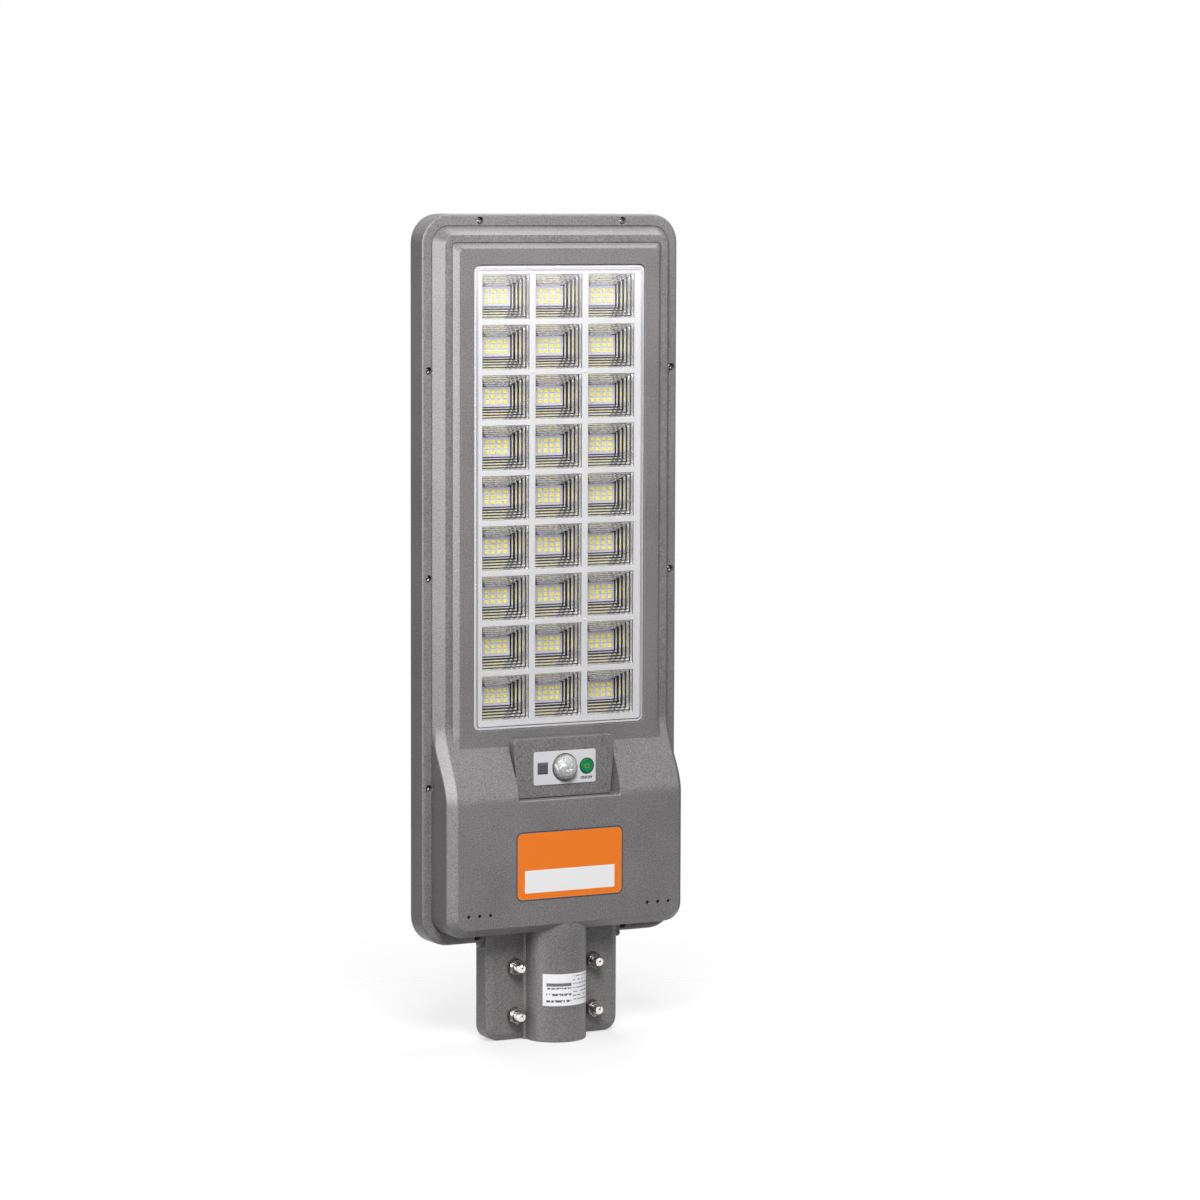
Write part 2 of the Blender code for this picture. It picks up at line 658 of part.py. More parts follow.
def make_front_housing(material):
    """Make the LED-side shell: stepped face, battery hood, sensor pocket and neck in one moulding."""
    housing = body_solid("front_housing", 0.0, SIDE_BACK_Y)
    combine(housing, [face_solid("face", 0.0), neck_solid()], "UNION")

    # The hollow, which leaves the sensor pocket's walls, lens seat, seal rib, screw bosses and board posts
    hollow = body_solid("hollow", WALL, SIDE_BACK_Y + CUT_SPARE)
    combine(hollow, [face_solid("face_hollow", WALL)], "UNION")
    reach = (HOOD_HEIGHT - FACE_HEIGHT) * math.tan(POCKET_DRAFT)
    half = SLAB_TOP_WIDTH / 2 + SLIDE_GAP + reach / 2 + WALL
    pocket_end = SLAB_END - SLIDE_GAP - WALL
    kept = [box("pocket_wall", (-half, -HALF_WIDTH, pocket_end),
                (half, POCKET_Y + WALL, RISE_START_Z - CUT_SPARE))]
    kept.append(plate("seat", lens_outline(SLIDE_GAP + WALL), FACE_Y + WALL / 2, SEAT_Y + SEAT_THICKNESS))
    kept.append(ring_plate("rib", *rib_outlines(), RIM_Y + WALL / 2, GASKET_SEAT_Y))
    boss_y = GASKET_SEAT_Y - SEAT_GAP
    for index, (place, _) in enumerate(screw_places()):
        kept.append(peg(f"boss_{index}", place, BOSS_RADIUS, RIM_Y + WALL / 2, boss_y, SMALL_SIDES))
    for index, place in enumerate(controller_post_places()):
        start = RIM_Y - hood_top(place[1]) + WALL / 2
        stop = CONTROLLER_Y - SEAT_GAP
        kept.append(peg(f"post_{index}", place, CONTROLLER_POST_RADIUS, start, stop, SMALL_SIDES))
    combine(hollow, kept, "DIFFERENCE")

    # Cut from the outside: lens pocket and window, sensor pocket, screw holes and drain holes
    cuts = [hollow, plate("lens_pocket", lens_outline(SLIDE_GAP), FACE_Y - CUT_SPARE, SEAT_Y)]
    cuts.append(plate("window", lens_outline(-SEAT_WIDTH), FACE_Y, SEAT_Y + SEAT_THICKNESS + CUT_SPARE))
    wide = slab_outline(SLIDE_GAP + reach, SLIDE_GAP)
    cuts.append(add_object("pocket", loft([at_depth(slab_outline(SLIDE_GAP, SLIDE_GAP), POCKET_Y),
                                           at_depth(wide, HOOD_Y - CUT_SPARE)])))
    half_x = SENSOR_BOARD_WIDTH / 2 + SLIDE_GAP * 2
    half_z = SENSOR_BOARD_LENGTH / 2 + SLIDE_GAP * 2
    cuts.append(box("board_opening", (-half_x, POCKET_Y - CUT_SPARE, SENSOR_Z - half_z),
                    (half_x, POCKET_Y + WALL + CUT_SPARE, SENSOR_Z + half_z)))
    for index, (place, _) in enumerate(screw_places()):
        sunk_y = RIM_Y + SCREW_SINK + SCREW_HEAD_HEIGHT
        cuts.append(peg(f"sink_{index}", place, COUNTERBORE_RADIUS, RIM_Y - CUT_SPARE, sunk_y, SMALL_SIDES))
        hole = SCREW_SHANK_RADIUS + SEAT_GAP
        cuts.append(peg(f"hole_{index}", place, hole, sunk_y - CUT_SPARE, SIDE_BACK_Y, SMALL_SIDES))
    for side in (-1, 1):
        for index in range(DRAIN_COUNT):
            place = (side * (HALF_WIDTH - DRAIN_INSET - index * DRAIN_PITCH), BODY_END + DRAIN_ABOVE_END)
            cuts.append(peg(f"drain_{side}_{index}", place, DRAIN_RADIUS, HOOD_Y - CUT_SPARE,
                            HOOD_Y + WALL + CUT_SPARE, SMALL_SIDES))

    # Cut the neck open from behind, leaving bolt bosses and their ribs, and bore it for the pole
    cuts.append(neck_hollow())
    bore_end = NECK_LENGTH - SEAT_GAP
    cuts.append(upright_round("pole_bore", POLE_BORE_RADIUS, -CUT_SPARE, bore_end, 2 * ROUND_SIDES))
    for index, place in enumerate(BOLT_PLACES):
        cuts.append(peg(f"bolt_hole_{index}", place, BOLT_HOLE_RADIUS, -CUT_SPARE, NECK_DEPTH))
    combine(housing, cuts, "DIFFERENCE")
    housing.data.materials.clear()
    housing.data.materials.append(material)
    return housing


def neck_hollow():
    """Make the cutter that hollows the neck from behind round its bolt bosses and ribs."""
    half = NECK_WIDTH / 2 - NECK_WALL
    high = NECK_LENGTH - 2 * SEAT_GAP
    corner = NECK_CORNER - NECK_WALL
    outline = rounded_outline(half, NECK_WALL, high, corner)
    hollow = plate("neck_hollow", outline, NECK_FRONT + NECK_WALL, NECK_DEPTH + CUT_SPARE)
    boss_y = SADDLE_FLANGE_Y - SEAT_GAP
    kept = []
    for index, (x, z) in enumerate(BOLT_PLACES):
        kept.append(peg(f"bolt_boss_{index}", (x, z), BOLT_BOSS_RADIUS, -CUT_SPARE, boss_y))
        side = math.copysign(1, x)
        ends = sorted((x, side * (half + CUT_SPARE)))
        kept.append(box(f"bolt_rib_{index}", (ends[0], -CUT_SPARE, z - BOLT_RIB / 2),
                        (ends[1], boss_y - SEAT_GAP, z + BOLT_RIB / 2)))
    return combine(hollow, kept, "DIFFERENCE")


def make_rear_frame(material):
    """Make the panel-side frame with its seal flange, screw posts and panel pocket."""
    side = body_outline(FRAME_INSET)
    flange = body_outline(WALL + SEAT_GAP)
    flange_back = FLANGE_Y + FRAME_FLANGE
    bevel_y = FRAME_BACK_Y - FRAME_BEVEL_DEPTH
    rings = [at_depth(flange, FLANGE_Y), at_depth(flange, flange_back), at_depth(side, flange_back)]
    rings += [at_depth(side, bevel_y), at_depth(body_outline(FRAME_INSET + FRAME_BEVEL), FRAME_BACK_Y)]
    frame = add_object("rear_frame", loft(rings))

    inner = body_outline(FRAME_INSET + WALL)
    inner_top = body_outline(FRAME_INSET + FRAME_BEVEL + SECOND_SLOPE_TOP * WALL)
    rings = [at_depth(inner, flange_back), at_depth(inner, bevel_y), at_depth(inner_top, LIP_Y)]
    hollow = add_object("frame_hollow", loft(rings))
    opening = body_outline(FRAME_INSET + FLANGE_WIDTH)
    mouth = plate("frame_mouth", opening, FLANGE_Y - CUT_SPARE, LIP_Y - FRAME_PLATE)
    combine(frame, [hollow, mouth], "DIFFERENCE")

    pocket = panel_outline(SLIDE_GAP + POCKET_RIB)
    added = [plate("panel_pocket", pocket, BACKSHEET_Y, LIP_Y + FRAME_PLATE / 2)]
    hole_end = RIM_Y + SCREW_SINK + SCREW_HEAD_HEIGHT + SCREW_LENGTH
    post_top = hole_end + 2 * SEAT_GAP
    post_y = FLANGE_Y + FRAME_FLANGE / 2
    for index, ((x, z), (to_x, to_z)) in enumerate(screw_places()):
        place = (x + to_x * POST_SHIFT, z + to_z * POST_SHIFT)
        added.append(peg(f"post_{index}", place, POST_RADIUS, post_y, post_top, SMALL_SIDES))
    combine(frame, added, "UNION")

    half = WINDOW_WIDTH / 2
    window = rounded_outline(half, WINDOW_END, WINDOW_TOP, WINDOW_CORNER)
    cuts = [plate("panel_room", panel_outline(SLIDE_GAP), BACKSHEET_Y - CUT_SPARE, LIP_Y)]
    cuts.append(plate("window", window, BACKSHEET_Y - CUT_SPARE, FRAME_BACK_Y + CUT_SPARE))
    for index, (place, _) in enumerate(screw_places()):
        hole = SCREW_SHANK_RADIUS + SEAT_GAP
        cuts.append(peg(f"hole_{index}", place, hole, FLANGE_Y - CUT_SPARE, hole_end + SEAT_GAP, SMALL_SIDES))
    combine(frame, cuts, "DIFFERENCE")
    frame.data.materials.clear()
    frame.data.materials.append(material)
    return frame


def panel_outline(grow=0.0):
    """List the solar panel's outline, grown or shrunk."""
    half = WINDOW_WIDTH / 2 + PANEL_LAP + grow
    return rounded_outline(half, WINDOW_END - PANEL_LAP - grow, WINDOW_TOP + PANEL_LAP + grow, WINDOW_CORNER)


def make_panel(materials):
    """Make the panel's layers, its seal and the terminal block on its inner side."""
    seal_inner = panel_outline(-PANEL_SEAL_WIDTH)
    ring_plate("panel_seal", panel_outline(), seal_inner, PANEL_SEAL_Y, PANEL_SEAL_Y + PANEL_SEAL_THICKNESS,
               materials["rubber"])
    plate("panel_glass", panel_outline(), GLASS_Y, GLASS_BACK_Y, materials["glass"])
    sheet_back = BACKSHEET_Y + BACKSHEET_THICKNESS
    plate("panel_backsheet", panel_outline(), BACKSHEET_Y, sheet_back, materials["white"])
    make_cell_string(materials["cell"])
    width, depth, height = TERMINAL_SIZE
    back_y = BACKSHEET_Y - SEAT_GAP
    middle = CONTROLLER_Z + CONTROLLER_SIZE[1] / 2 + height
    box("panel_terminal", (TERMINAL_X - width / 2, back_y - depth, middle - height / 2),
        (TERMINAL_X + width / 2, back_y, middle + height / 2), materials["black"])


def make_cell_string(material):
    """Make the cell strips joined by their ribbons as one thin grid."""
    half = CELL_WIDTH / 2
    pitch = CELL_HEIGHT + CELL_GAP
    low = WINDOW_MIDDLE - (CELL_COUNT * pitch - CELL_GAP) / 2
    columns = [-half]
    for index in range(RIBBON_COUNT):
        middle = (index - (RIBBON_COUNT - 1) / 2) * RIBBON_PITCH
        columns += [middle - RIBBON_WIDTH / 2, middle + RIBBON_WIDTH / 2]
    columns.append(half)
    rows = []
    for index in range(CELL_COUNT):
        rows += [low + index * pitch, low + index * pitch + CELL_HEIGHT]

    def is_filled(column, row):
        return row % 2 == 0 or column % 2 == 1

    add_object("cell_string", grid_solid(columns, rows, is_filled, CELL_Y, CELL_Y + CELL_THICKNESS), material)


def grid_solid(columns, rows, is_filled, front_y, back_y):
    """Make a flat solid out of the filled fields of a grid of x and z lines."""
    mesh_data = bmesh.new()
    corners = {}

    def corner(column, row, y):
        key = (column, row, y)
        if key not in corners:
            corners[key] = mesh_data.verts.new((columns[column], y, rows[row]))
        return corners[key]

    def filled(column, row):
        inside = 0 <= column < len(columns) - 1 and 0 <= row < len(rows) - 1
        return inside and is_filled(column, row)

    for column in range(len(columns) - 1):
        for row in range(len(rows) - 1):
            if not filled(column, row):
                continue
            loop = [(column, row), (column + 1, row), (column + 1, row + 1), (column, row + 1)]
            mesh_data.faces.new([corner(*point, front_y) for point in loop])
            mesh_data.faces.new([corner(*point, back_y) for point in reversed(loop)])
            beside = [(column, row - 1), (column + 1, row), (column, row + 1), (column - 1, row)]
            for edge, neighbour in enumerate(beside):
                if not filled(*neighbour):
                    start, stop = loop[edge], loop[(edge + 1) % 4]
                    mesh_data.faces.new((corner(*stop, front_y), corner(*start, front_y),
                                         corner(*start, back_y), corner(*stop, back_y)))
    return mesh_data


def cup_rings(middle_x, middle_z):
    """List the rectangles down one reflector cup: mouth, steps, floor hole, and back up its outside."""
    def rectangle(half_x, half_z, y):
        corners = ((-half_x, -half_z), (half_x, -half_z), (half_x, half_z), (-half_x, half_z))
        return [(middle_x + x, y, middle_z + z) for x, z in corners]

    def size(share):
        half_x = CUP_WIDTH / 2 + (CUP_FLOOR_WIDTH - CUP_WIDTH) / 2 * share
        half_z = CUP_LENGTH / 2 + (CUP_FLOOR_LENGTH - CUP_LENGTH) / 2 * share
        return half_x, half_z

    rings = [rectangle(*size(0.0), TRAY_Y)]
    for step in range(1, CUP_STEPS + 1):
        before, share = (step - 1) / CUP_STEPS, step / CUP_STEPS
        y = TRAY_Y + CUP_DEPTH * share ** CUP_STEP_GROWTH
        if step < CUP_STEPS:
            rings.append(rectangle(*size(share - CUP_STEP_LIP * (share - before)), y))
        rings.append(rectangle(*size(share), y))
    floor_x, floor_z = size(1.0)
    rings.append(rectangle(floor_x + CUP_FLOOR_WALL, floor_z + CUP_FLOOR_WALL, CUP_FLOOR_Y))
    mouth_x, mouth_z = size(0.0)
    rings.append(rectangle(mouth_x + CUP_WALL, mouth_z + CUP_WALL, TRAY_Y + TRAY_FLANGE))
    return rings


def make_reflector(material):
    """Make the reflector tray: a flange with a grid of stepped, hollow cups."""
    half = LENS_WIDTH / 2 - TRAY_INSET
    xs = [(column - (CUP_COLUMNS - 1) / 2) * CUP_PITCH_X for column in range(CUP_COLUMNS)]
    zs = [LENS_MIDDLE + (row - (CUP_ROWS - 1) / 2) * CUP_PITCH_Z for row in range(CUP_ROWS)]
    mesh_data = bmesh.new()
    sheets = []
    for grow, y in ((0.0, TRAY_Y), (CUP_WALL, TRAY_Y + TRAY_FLANGE)):
        columns = [-half] + [x + side * (CUP_WIDTH / 2 + grow) for x in xs for side in (-1, 1)] + [half]
        rows = [z + side * (CUP_LENGTH / 2 + grow) for z in zs for side in (-1, 1)]
        rows = [LENS_END + TRAY_INSET] + rows + [LENS_TOP - TRAY_INSET]
        points = [[mesh_data.verts.new((x, y, z)) for z in rows] for x in columns]
        for column in range(len(columns) - 1):
            for row in range(len(rows) - 1):
                if column % 2 == 0 or row % 2 == 0:
                    mesh_data.faces.new((points[column][row], points[column + 1][row],
                                         points[column + 1][row + 1], points[column][row + 1]))
        sheets.append(points)
    front, back = sheets
    for index in (0, -1):
        mesh_data.faces.new(front[index] + back[index][::-1])
        mesh_data.faces.new([line[index] for line in front] + [line[index] for line in reversed(back)])
    for x in xs:
        for z in zs:
            rings = [[mesh_data.verts.new(point) for point in ring] for ring in cup_rings(x, z)]
            for lower, upper in zip(rings, rings[1:]):
                for index in range(4):
                    after = (index + 1) % 4
                    mesh_data.faces.new((lower[index], lower[after], upper[after], upper[index]))
    return add_object("reflector_tray", mesh_data, material)


def make_light_unit(materials):
    """Make the lens, its seal, the reflector and the LED board."""
    rings = [at_depth(lens_outline(-LENS_BEVEL), LENS_FRONT_Y)]
    rings += [at_depth(lens_outline(), y) for y in (LENS_FRONT_Y + LENS_BEVEL, LENS_BACK_Y)]
    add_object("lens_cover", loft(rings), materials["clear"])
    ring_plate("lens_seal", lens_outline(), lens_outline(-SEAL_WIDTH), LENS_SEAL_Y,
               LENS_SEAL_Y + SEAL_THICKNESS, materials["white"])
    make_reflector(materials["chrome"])
    half_x = CUP_COLUMNS * CUP_PITCH_X / 2
    half_z = CUP_ROWS * CUP_PITCH_Z / 2
    box("led_board", (-half_x, BOARD_Y, LENS_MIDDLE - half_z), (half_x, BOARD_BACK_Y, LENS_MIDDLE + half_z),
        materials["white"])


def make_sensor_unit(materials):
    """Make the sensor slab, its face plate, both sensors, the push button, its switch and their board."""
    light_x, button_x = -SENSOR_SPACING, SENSOR_SPACING

    def openings(front_y, back_y):
        half = LIGHT_WINDOW / 2 + SEAT_GAP
        light = box("light_hole", (light_x - half, front_y, SENSOR_Z - half),
                    (light_x + half, back_y, SENSOR_Z + half))
        dome = peg("dome_hole", (0.0, SENSOR_Z), DOME_RADIUS + SEAT_GAP, front_y, back_y)
        button = peg("button_hole", (button_x, SENSOR_Z), BUTTON_RADIUS + SEAT_GAP, front_y, back_y)
        return [light, dome, button]

    slab = plate("sensor_slab", slab_outline(), SLAB_Y, POCKET_Y - SEAT_GAP, materials["grey"])
    room = plate("slab_room", slab_outline(-SLAB_WALL, -SLAB_WALL), SLAB_INNER_Y, POCKET_Y + CUT_SPARE)
    combine(slab, [room], "DIFFERENCE")
    post_x = SENSOR_BOARD_WIDTH / 2 - 2 * SLAB_POST_RADIUS
    post_z = SENSOR_BOARD_LENGTH / 2 - 2 * SLAB_POST_RADIUS
    start, stop = SLAB_Y + SLAB_THICKNESS / 2, SENSOR_BOARD_Y - SEAT_GAP
    posts = []
    for x in (-post_x, post_x):
        for z in (SENSOR_Z - post_z, SENSOR_Z + post_z):
            posts.append(peg("post", (x, z), SLAB_POST_RADIUS, start, stop, SMALL_SIDES))
    combine(slab, posts, "UNION")
    combine(slab, openings(SLAB_Y - CUT_SPARE, SLAB_INNER_Y + CUT_SPARE), "DIFFERENCE")

    low, high = SENSOR_Z - LABEL_LENGTH / 2, SENSOR_Z + LABEL_LENGTH / 2
    face = plate("sensor_face_plate", rounded_outline(LABEL_WIDTH / 2, low, high, LABEL_CORNER),
                 LABEL_Y, LABEL_Y + LABEL_THICKNESS, materials["white"])
    combine(face, openings(LABEL_Y - CUT_SPARE, LABEL_Y + LABEL_THICKNESS + CUT_SPARE), "DIFFERENCE")

    make_motion_lens(materials["clear"])
    can_back = SENSOR_BOARD_Y - SEAT_GAP
    peg("motion_sensor", (0.0, SENSOR_Z), MOTION_CAN_RADIUS, can_back - MOTION_CAN_HEIGHT, can_back,
        material=materials["steel"])
    make_light_sensor(light_x, materials["black"])
    make_power_button(button_x, materials["green"])
    half = SWITCH_SIZE / 2
    switch = box("push_switch", (button_x - half, SWITCH_Y, SENSOR_Z - half),
                 (button_x + half, SENSOR_BOARD_Y - SEAT_GAP, SENSOR_Z + half), materials["black"])
    plunger = peg("plunger", (button_x, SENSOR_Z), PLUNGER_RADIUS, PLUNGER_Y,
                  SWITCH_Y + SWITCH_HEIGHT / 2, SMALL_SIDES)
    combine(switch, [plunger], "UNION")
    half_x, half_z = SENSOR_BOARD_WIDTH / 2, SENSOR_BOARD_LENGTH / 2
    box("sensor_board", (-half_x, SENSOR_BOARD_Y, SENSOR_Z - half_z),
        (half_x, SENSOR_BOARD_Y + BOARD_THICKNESS, SENSOR_Z + half_z), materials["board"])


def make_motion_lens(material):
    """Make the hollow dome of the motion sensor with its retaining flange behind the slab."""
    base_y = SLAB_Y - LABEL_THICKNESS
    flange_y = SLAB_INNER_Y + SEAT_GAP
    flange_back = flange_y + DOME_FLANGE

    def dome(radius, rise):
        points = []
        for step in range(1, CORNER_STEPS + 1):
            angle = math.radians(90.0 - 90.0 * step / (CORNER_STEPS + 1))
            points.append((radius * math.cos(angle), base_y - rise * math.sin(angle)))
        return points + [(radius, base_y)]

    inner = DOME_RADIUS - DOME_WALL
    profile = dome(DOME_RADIUS, DOME_RISE) + [(DOME_RADIUS, flange_y), (DOME_RADIUS + DOME_FLANGE, flange_y)]
    profile += [(DOME_RADIUS + DOME_FLANGE, flange_back), (inner, flange_back)]
    profile += dome(inner, DOME_RISE - DOME_WALL)[::-1]
    add_object("motion_lens", turned(profile), material, place=(0.0, 0.0, SENSOR_Z))


def make_light_sensor(x, material):
    """Make the dark square window of the light sensor with its flange behind the slab."""
    flange_y = SLAB_INNER_Y + SEAT_GAP
    small, large = LIGHT_WINDOW / 2, LIGHT_WINDOW / 2 + DOME_FLANGE
    rings = []
    for half, y in ((small, LABEL_Y - LIGHT_WINDOW_PROUD), (small, flange_y), (large, flange_y),
                    (large, flange_y + DOME_FLANGE)):
        corners = ((-half, -half), (half, -half), (half, half), (-half, half))
        rings.append([(x + dx, y, SENSOR_Z + dz) for dx, dz in corners])
    add_object("light_sensor", loft(rings), material)


def make_power_button(x, material):
    """Make the round push button; it slides along Y on its own axis."""
    front_y = LABEL_Y - BUTTON_PROUD
    flange_y = SLAB_INNER_Y + SEAT_GAP
    flange_back = flange_y + BUTTON_FLANGE
    stem_y = PLUNGER_Y - BUTTON_TRAVEL - SEAT_GAP
    edge = BUTTON_FLANGE
    profile = [(BUTTON_RADIUS - edge, front_y), (BUTTON_RADIUS, front_y + edge / 2)]
    profile += [(BUTTON_RADIUS, flange_y), (BUTTON_RADIUS + edge, flange_y)]
    profile.append((BUTTON_RADIUS + edge, flange_back))
    profile += [(BUTTON_STEM_RADIUS, flange_back), (BUTTON_STEM_RADIUS, stem_y)]
    add_object("power_button", turned(profile), material, place=(x, 0.0, SENSOR_Z))


def make_power_unit(materials):
    """Make the battery cells in their tray, the two boards and the leads between them."""
    for index in range(BATTERY_COUNT):
        x = (index - (BATTERY_COUNT - 1) / 2) * BATTERY_PITCH
        shoulder = BATTERY_LENGTH - BATTERY_TIP
        profile = [(BATTERY_RADIUS, 0.0), (BATTERY_RADIUS, shoulder), (BATTERY_TIP_RADIUS, shoulder)]
        profile.append((BATTERY_TIP_RADIUS, BATTERY_LENGTH))
        add_object(f"battery_cell_{index + 1}", upright_turned(profile), materials["blue"],
                   place=(x, BATTERY_Y, BATTERY_Z))
    room = BATTERY_COUNT * BATTERY_PITCH / 2 + SEAT_GAP
    half = room + TRAY_WALL
    tray_front = TRAY_BASE_Y - TRAY_SIDE_HEIGHT
    tray_outline = rounded_outline(half, TRAY_END, TRAY_TOP, TRAY_CORNER)
    tray = plate("battery_tray", tray_outline, tray_front, TRAY_BACK_Y, materials["black"])
    inside = box("tray_room", (-room, tray_front - CUT_SPARE, TRAY_END + TRAY_FOOT),
                 (room, TRAY_BASE_Y, TRAY_TOP - TRAY_WALL))
    combine(tray, [inside], "DIFFERENCE")
    for name, size, y, z in (("bms_board", BMS_SIZE, BMS_Y, BMS_Z),
                             ("controller_board", CONTROLLER_SIZE, CONTROLLER_Y, CONTROLLER_Z)):
        box(name, (-size[0] / 2, y, z - size[1] / 2), (size[0] / 2, y + BOARD_THICKNESS, z + size[1] / 2),
            materials["board"])
    make_leads(materials)


def make_leads(materials):
    """Make the inner leads: battery to controller, controller to LEDs, panel to controller."""
    rise = Vector((0.0, 3 * LEAD_RADIUS, 0.0))
    board_y = BMS_Y + BOARD_THICKNESS + SEAT_GAP
    low, high = CONTROLLER_Z - CONTROLLER_SIZE[1] / 4, CONTROLLER_Z + CONTROLLER_SIZE[1] / 4

    def route(start, end, way_out, way_in):
        out, back = start + way_out, end - way_in
        crest = (way_out - way_in) / 4
        between = [out.lerp(back, share) + crest for share in (0.2, 0.5, 0.8)]
        return [start, (start + out) / 2, out] + between + [back, (back + end) / 2, end]

    battery_start = Vector((BATTERY_LEAD_X, board_y, BMS_Z + BMS_SIZE[1] / 4))
    battery_end = Vector((BATTERY_LEAD_X, board_y, low))
    tube_along("battery_lead", route(battery_start, battery_end, rise, -rise), LEAD_RADIUS, materials["red"])
    led_y = BOARD_BACK_Y + SEAT_GAP
    led_start = Vector((LED_LEAD_X, board_y, high))
    led_end = Vector((LED_LEAD_X, led_y, LENS_END + LED_LEAD_ABOVE_LENS_END))
    tube_along("led_lead", route(led_start, led_end, rise, -rise), LEAD_RADIUS, materials["red"])
    terminal_y = BACKSHEET_Y - 2 * SEAT_GAP - TERMINAL_SIZE[1]
    terminal_z = CONTROLLER_Z + CONTROLLER_SIZE[1] / 2 + TERMINAL_SIZE[2]
    panel_start, panel_end = Vector((TERMINAL_X, terminal_y, terminal_z)), Vector((TERMINAL_X, board_y, high))
    short = -rise / 2
    tube_along("panel_lead", route(panel_start, panel_end, short, short), LEAD_RADIUS, materials["black"])


def make_seal_and_screws(materials):
    """Make the seal between the two shells and the screws that pull them together."""
    ring_plate("housing_seal", *rib_outlines(), GASKET_Y, GASKET_Y + GASKET_THICKNESS, materials["rubber"])
    head_back = RIM_Y + SCREW_SINK + SCREW_HEAD_HEIGHT - SEAT_GAP
    profile = [(SCREW_HEAD_RADIUS, head_back - SCREW_HEAD_HEIGHT), (SCREW_HEAD_RADIUS, head_back)]
    profile += [(SCREW_SHANK_RADIUS, head_back), (SCREW_SHANK_RADIUS, head_back + SCREW_LENGTH)]
    for index, ((x, z), _) in enumerate(screw_places()):
        add_object(f"housing_screw_{index + 1:02d}", turned(profile, SMALL_SIDES), materials["steel"],
                   place=(x, 0.0, z))


def make_saddle(material):
    """Make the pressed clamp saddle that closes the neck behind the pole."""
    low, high = NECK_WALL + SADDLE_END_GAP, NECK_LENGTH - 2 * SADDLE_END_GAP
    outer = POLE_BORE_RADIUS + SADDLE_THICKNESS
    half = SADDLE_WIDTH / 2
    edge = half + CUT_SPARE

    def arc(radius, flange_y):
        start = math.asin(flange_y / radius)
        steps = ROUND_SIDES // 2
        angles = [start + (math.pi - 2 * start) * step / steps for step in range(steps + 1)]
        return [(radius * math.cos(angle), radius * math.sin(angle)) for angle in angles]

    outside = [(edge, SADDLE_BACK_Y)] + arc(outer, SADDLE_BACK_Y) + [(-edge, SADDLE_BACK_Y)]
    inside = [(edge, SADDLE_FLANGE_Y)] + arc(POLE_BORE_RADIUS, SADDLE_FLANGE_Y) + [(-edge, SADDLE_FLANGE_Y)]
    section = outside + inside[::-1]
    middle = (low + high) / 2
    reach = (high - low) / 2 + CUT_SPARE
    rings = [[(x, y - SADDLE_FLANGE_Y, z) for x, y in section] for z in (-reach, reach)]
    saddle = add_object("clamp_saddle", loft(rings), material, place=(0.0, SADDLE_FLANGE_Y, middle))
    blank = plate("blank", rounded_outline(half, low, high, SADDLE_CORNER), 0.0, outer + CUT_SPARE)
    combine(saddle, [blank], "INTERSECT")
    cuts = [peg("bolt_hole", place, BOLT_HOLE_RADIUS, 0.0, NECK_DEPTH) for place in BOLT_PLACES]
    for step in (-1, 0, 1):
        place = (0.0, middle + step * CROWN_HOLE_PITCH)
        cuts.append(peg("crown_hole", place, CROWN_HOLE_RADIUS, POLE_BORE_RADIUS / 2, outer + CUT_SPARE))
    return combine(saddle, cuts, "DIFFERENCE")


def make_clamp(materials):
    """Make the saddle with its four bolts, washers, spring washers and nuts."""
    make_saddle(materials["grey"])
    for index, place in enumerate(BOLT_PLACES):
        number = index + 1
        make_bolt(f"clamp_bolt_{number}", place, materials["steel"])
        hole = polygon(BOLT_HOLE_RADIUS, ROUND_SIDES, place)
        ring_plate(f"flat_washer_{number}", polygon(WASHER_RADIUS, ROUND_SIDES, place), hole, WASHER_Y,
                   WASHER_Y + WASHER_THICKNESS, materials["steel"])
        spring_back = SPRING_Y + SPRING_THICKNESS
        spring = ring_plate(f"spring_washer_{number}", polygon(SPRING_RADIUS, ROUND_SIDES, place), hole,
                            SPRING_Y, spring_back, materials["steel"])
        half = SPRING_SPLIT / 2
        split = box("split", (place[0] - half, SPRING_Y - CUT_SPARE, place[1]),
                    (place[0] + half, spring_back + CUT_SPARE, place[1] + WASHER_RADIUS))
        combine(spring, [split], "DIFFERENCE")
        nut_back = NECK_FRONT - SEAT_GAP
        nut_front = nut_back - NUT_HEIGHT
        hexagon = polygon(NUT_FLATS / math.sqrt(3), 6, place, math.pi / 6)
        nut = plate(f"clamp_nut_{number}", hexagon, nut_front, nut_back, materials["steel"])
        thread = peg("thread", place, BOLT_RADIUS + SEAT_GAP, nut_front - CUT_SPARE, nut_back + CUT_SPARE)
        combine(nut, [thread], "DIFFERENCE")


def make_bolt(name, place, material):
    """Make one socket-head bolt; it turns about its own axis along Y."""
    end_y, top_y = BOLT_HEAD_Y - BOLT_LENGTH, BOLT_HEAD_Y + BOLT_HEAD_HEIGHT
    chamfer = BOLT_RADIUS / 6
    profile = [(BOLT_RADIUS - chamfer, end_y), (BOLT_RADIUS, end_y + chamfer), (BOLT_RADIUS, BOLT_HEAD_Y)]
    profile += [(BOLT_HEAD_RADIUS, BOLT_HEAD_Y), (BOLT_HEAD_RADIUS, top_y - chamfer)]
    profile.append((BOLT_HEAD_RADIUS - chamfer, top_y))
    bolt = add_object(name, turned(profile), material, place=(place[0], 0.0, place[1]))
    hexagon = polygon(BOLT_SOCKET_FLATS / math.sqrt(3), 6, place)
    socket = plate("socket", hexagon, top_y - BOLT_SOCKET_DEPTH, top_y + CUT_SPARE)
    return combine(bolt, [socket], "DIFFERENCE")


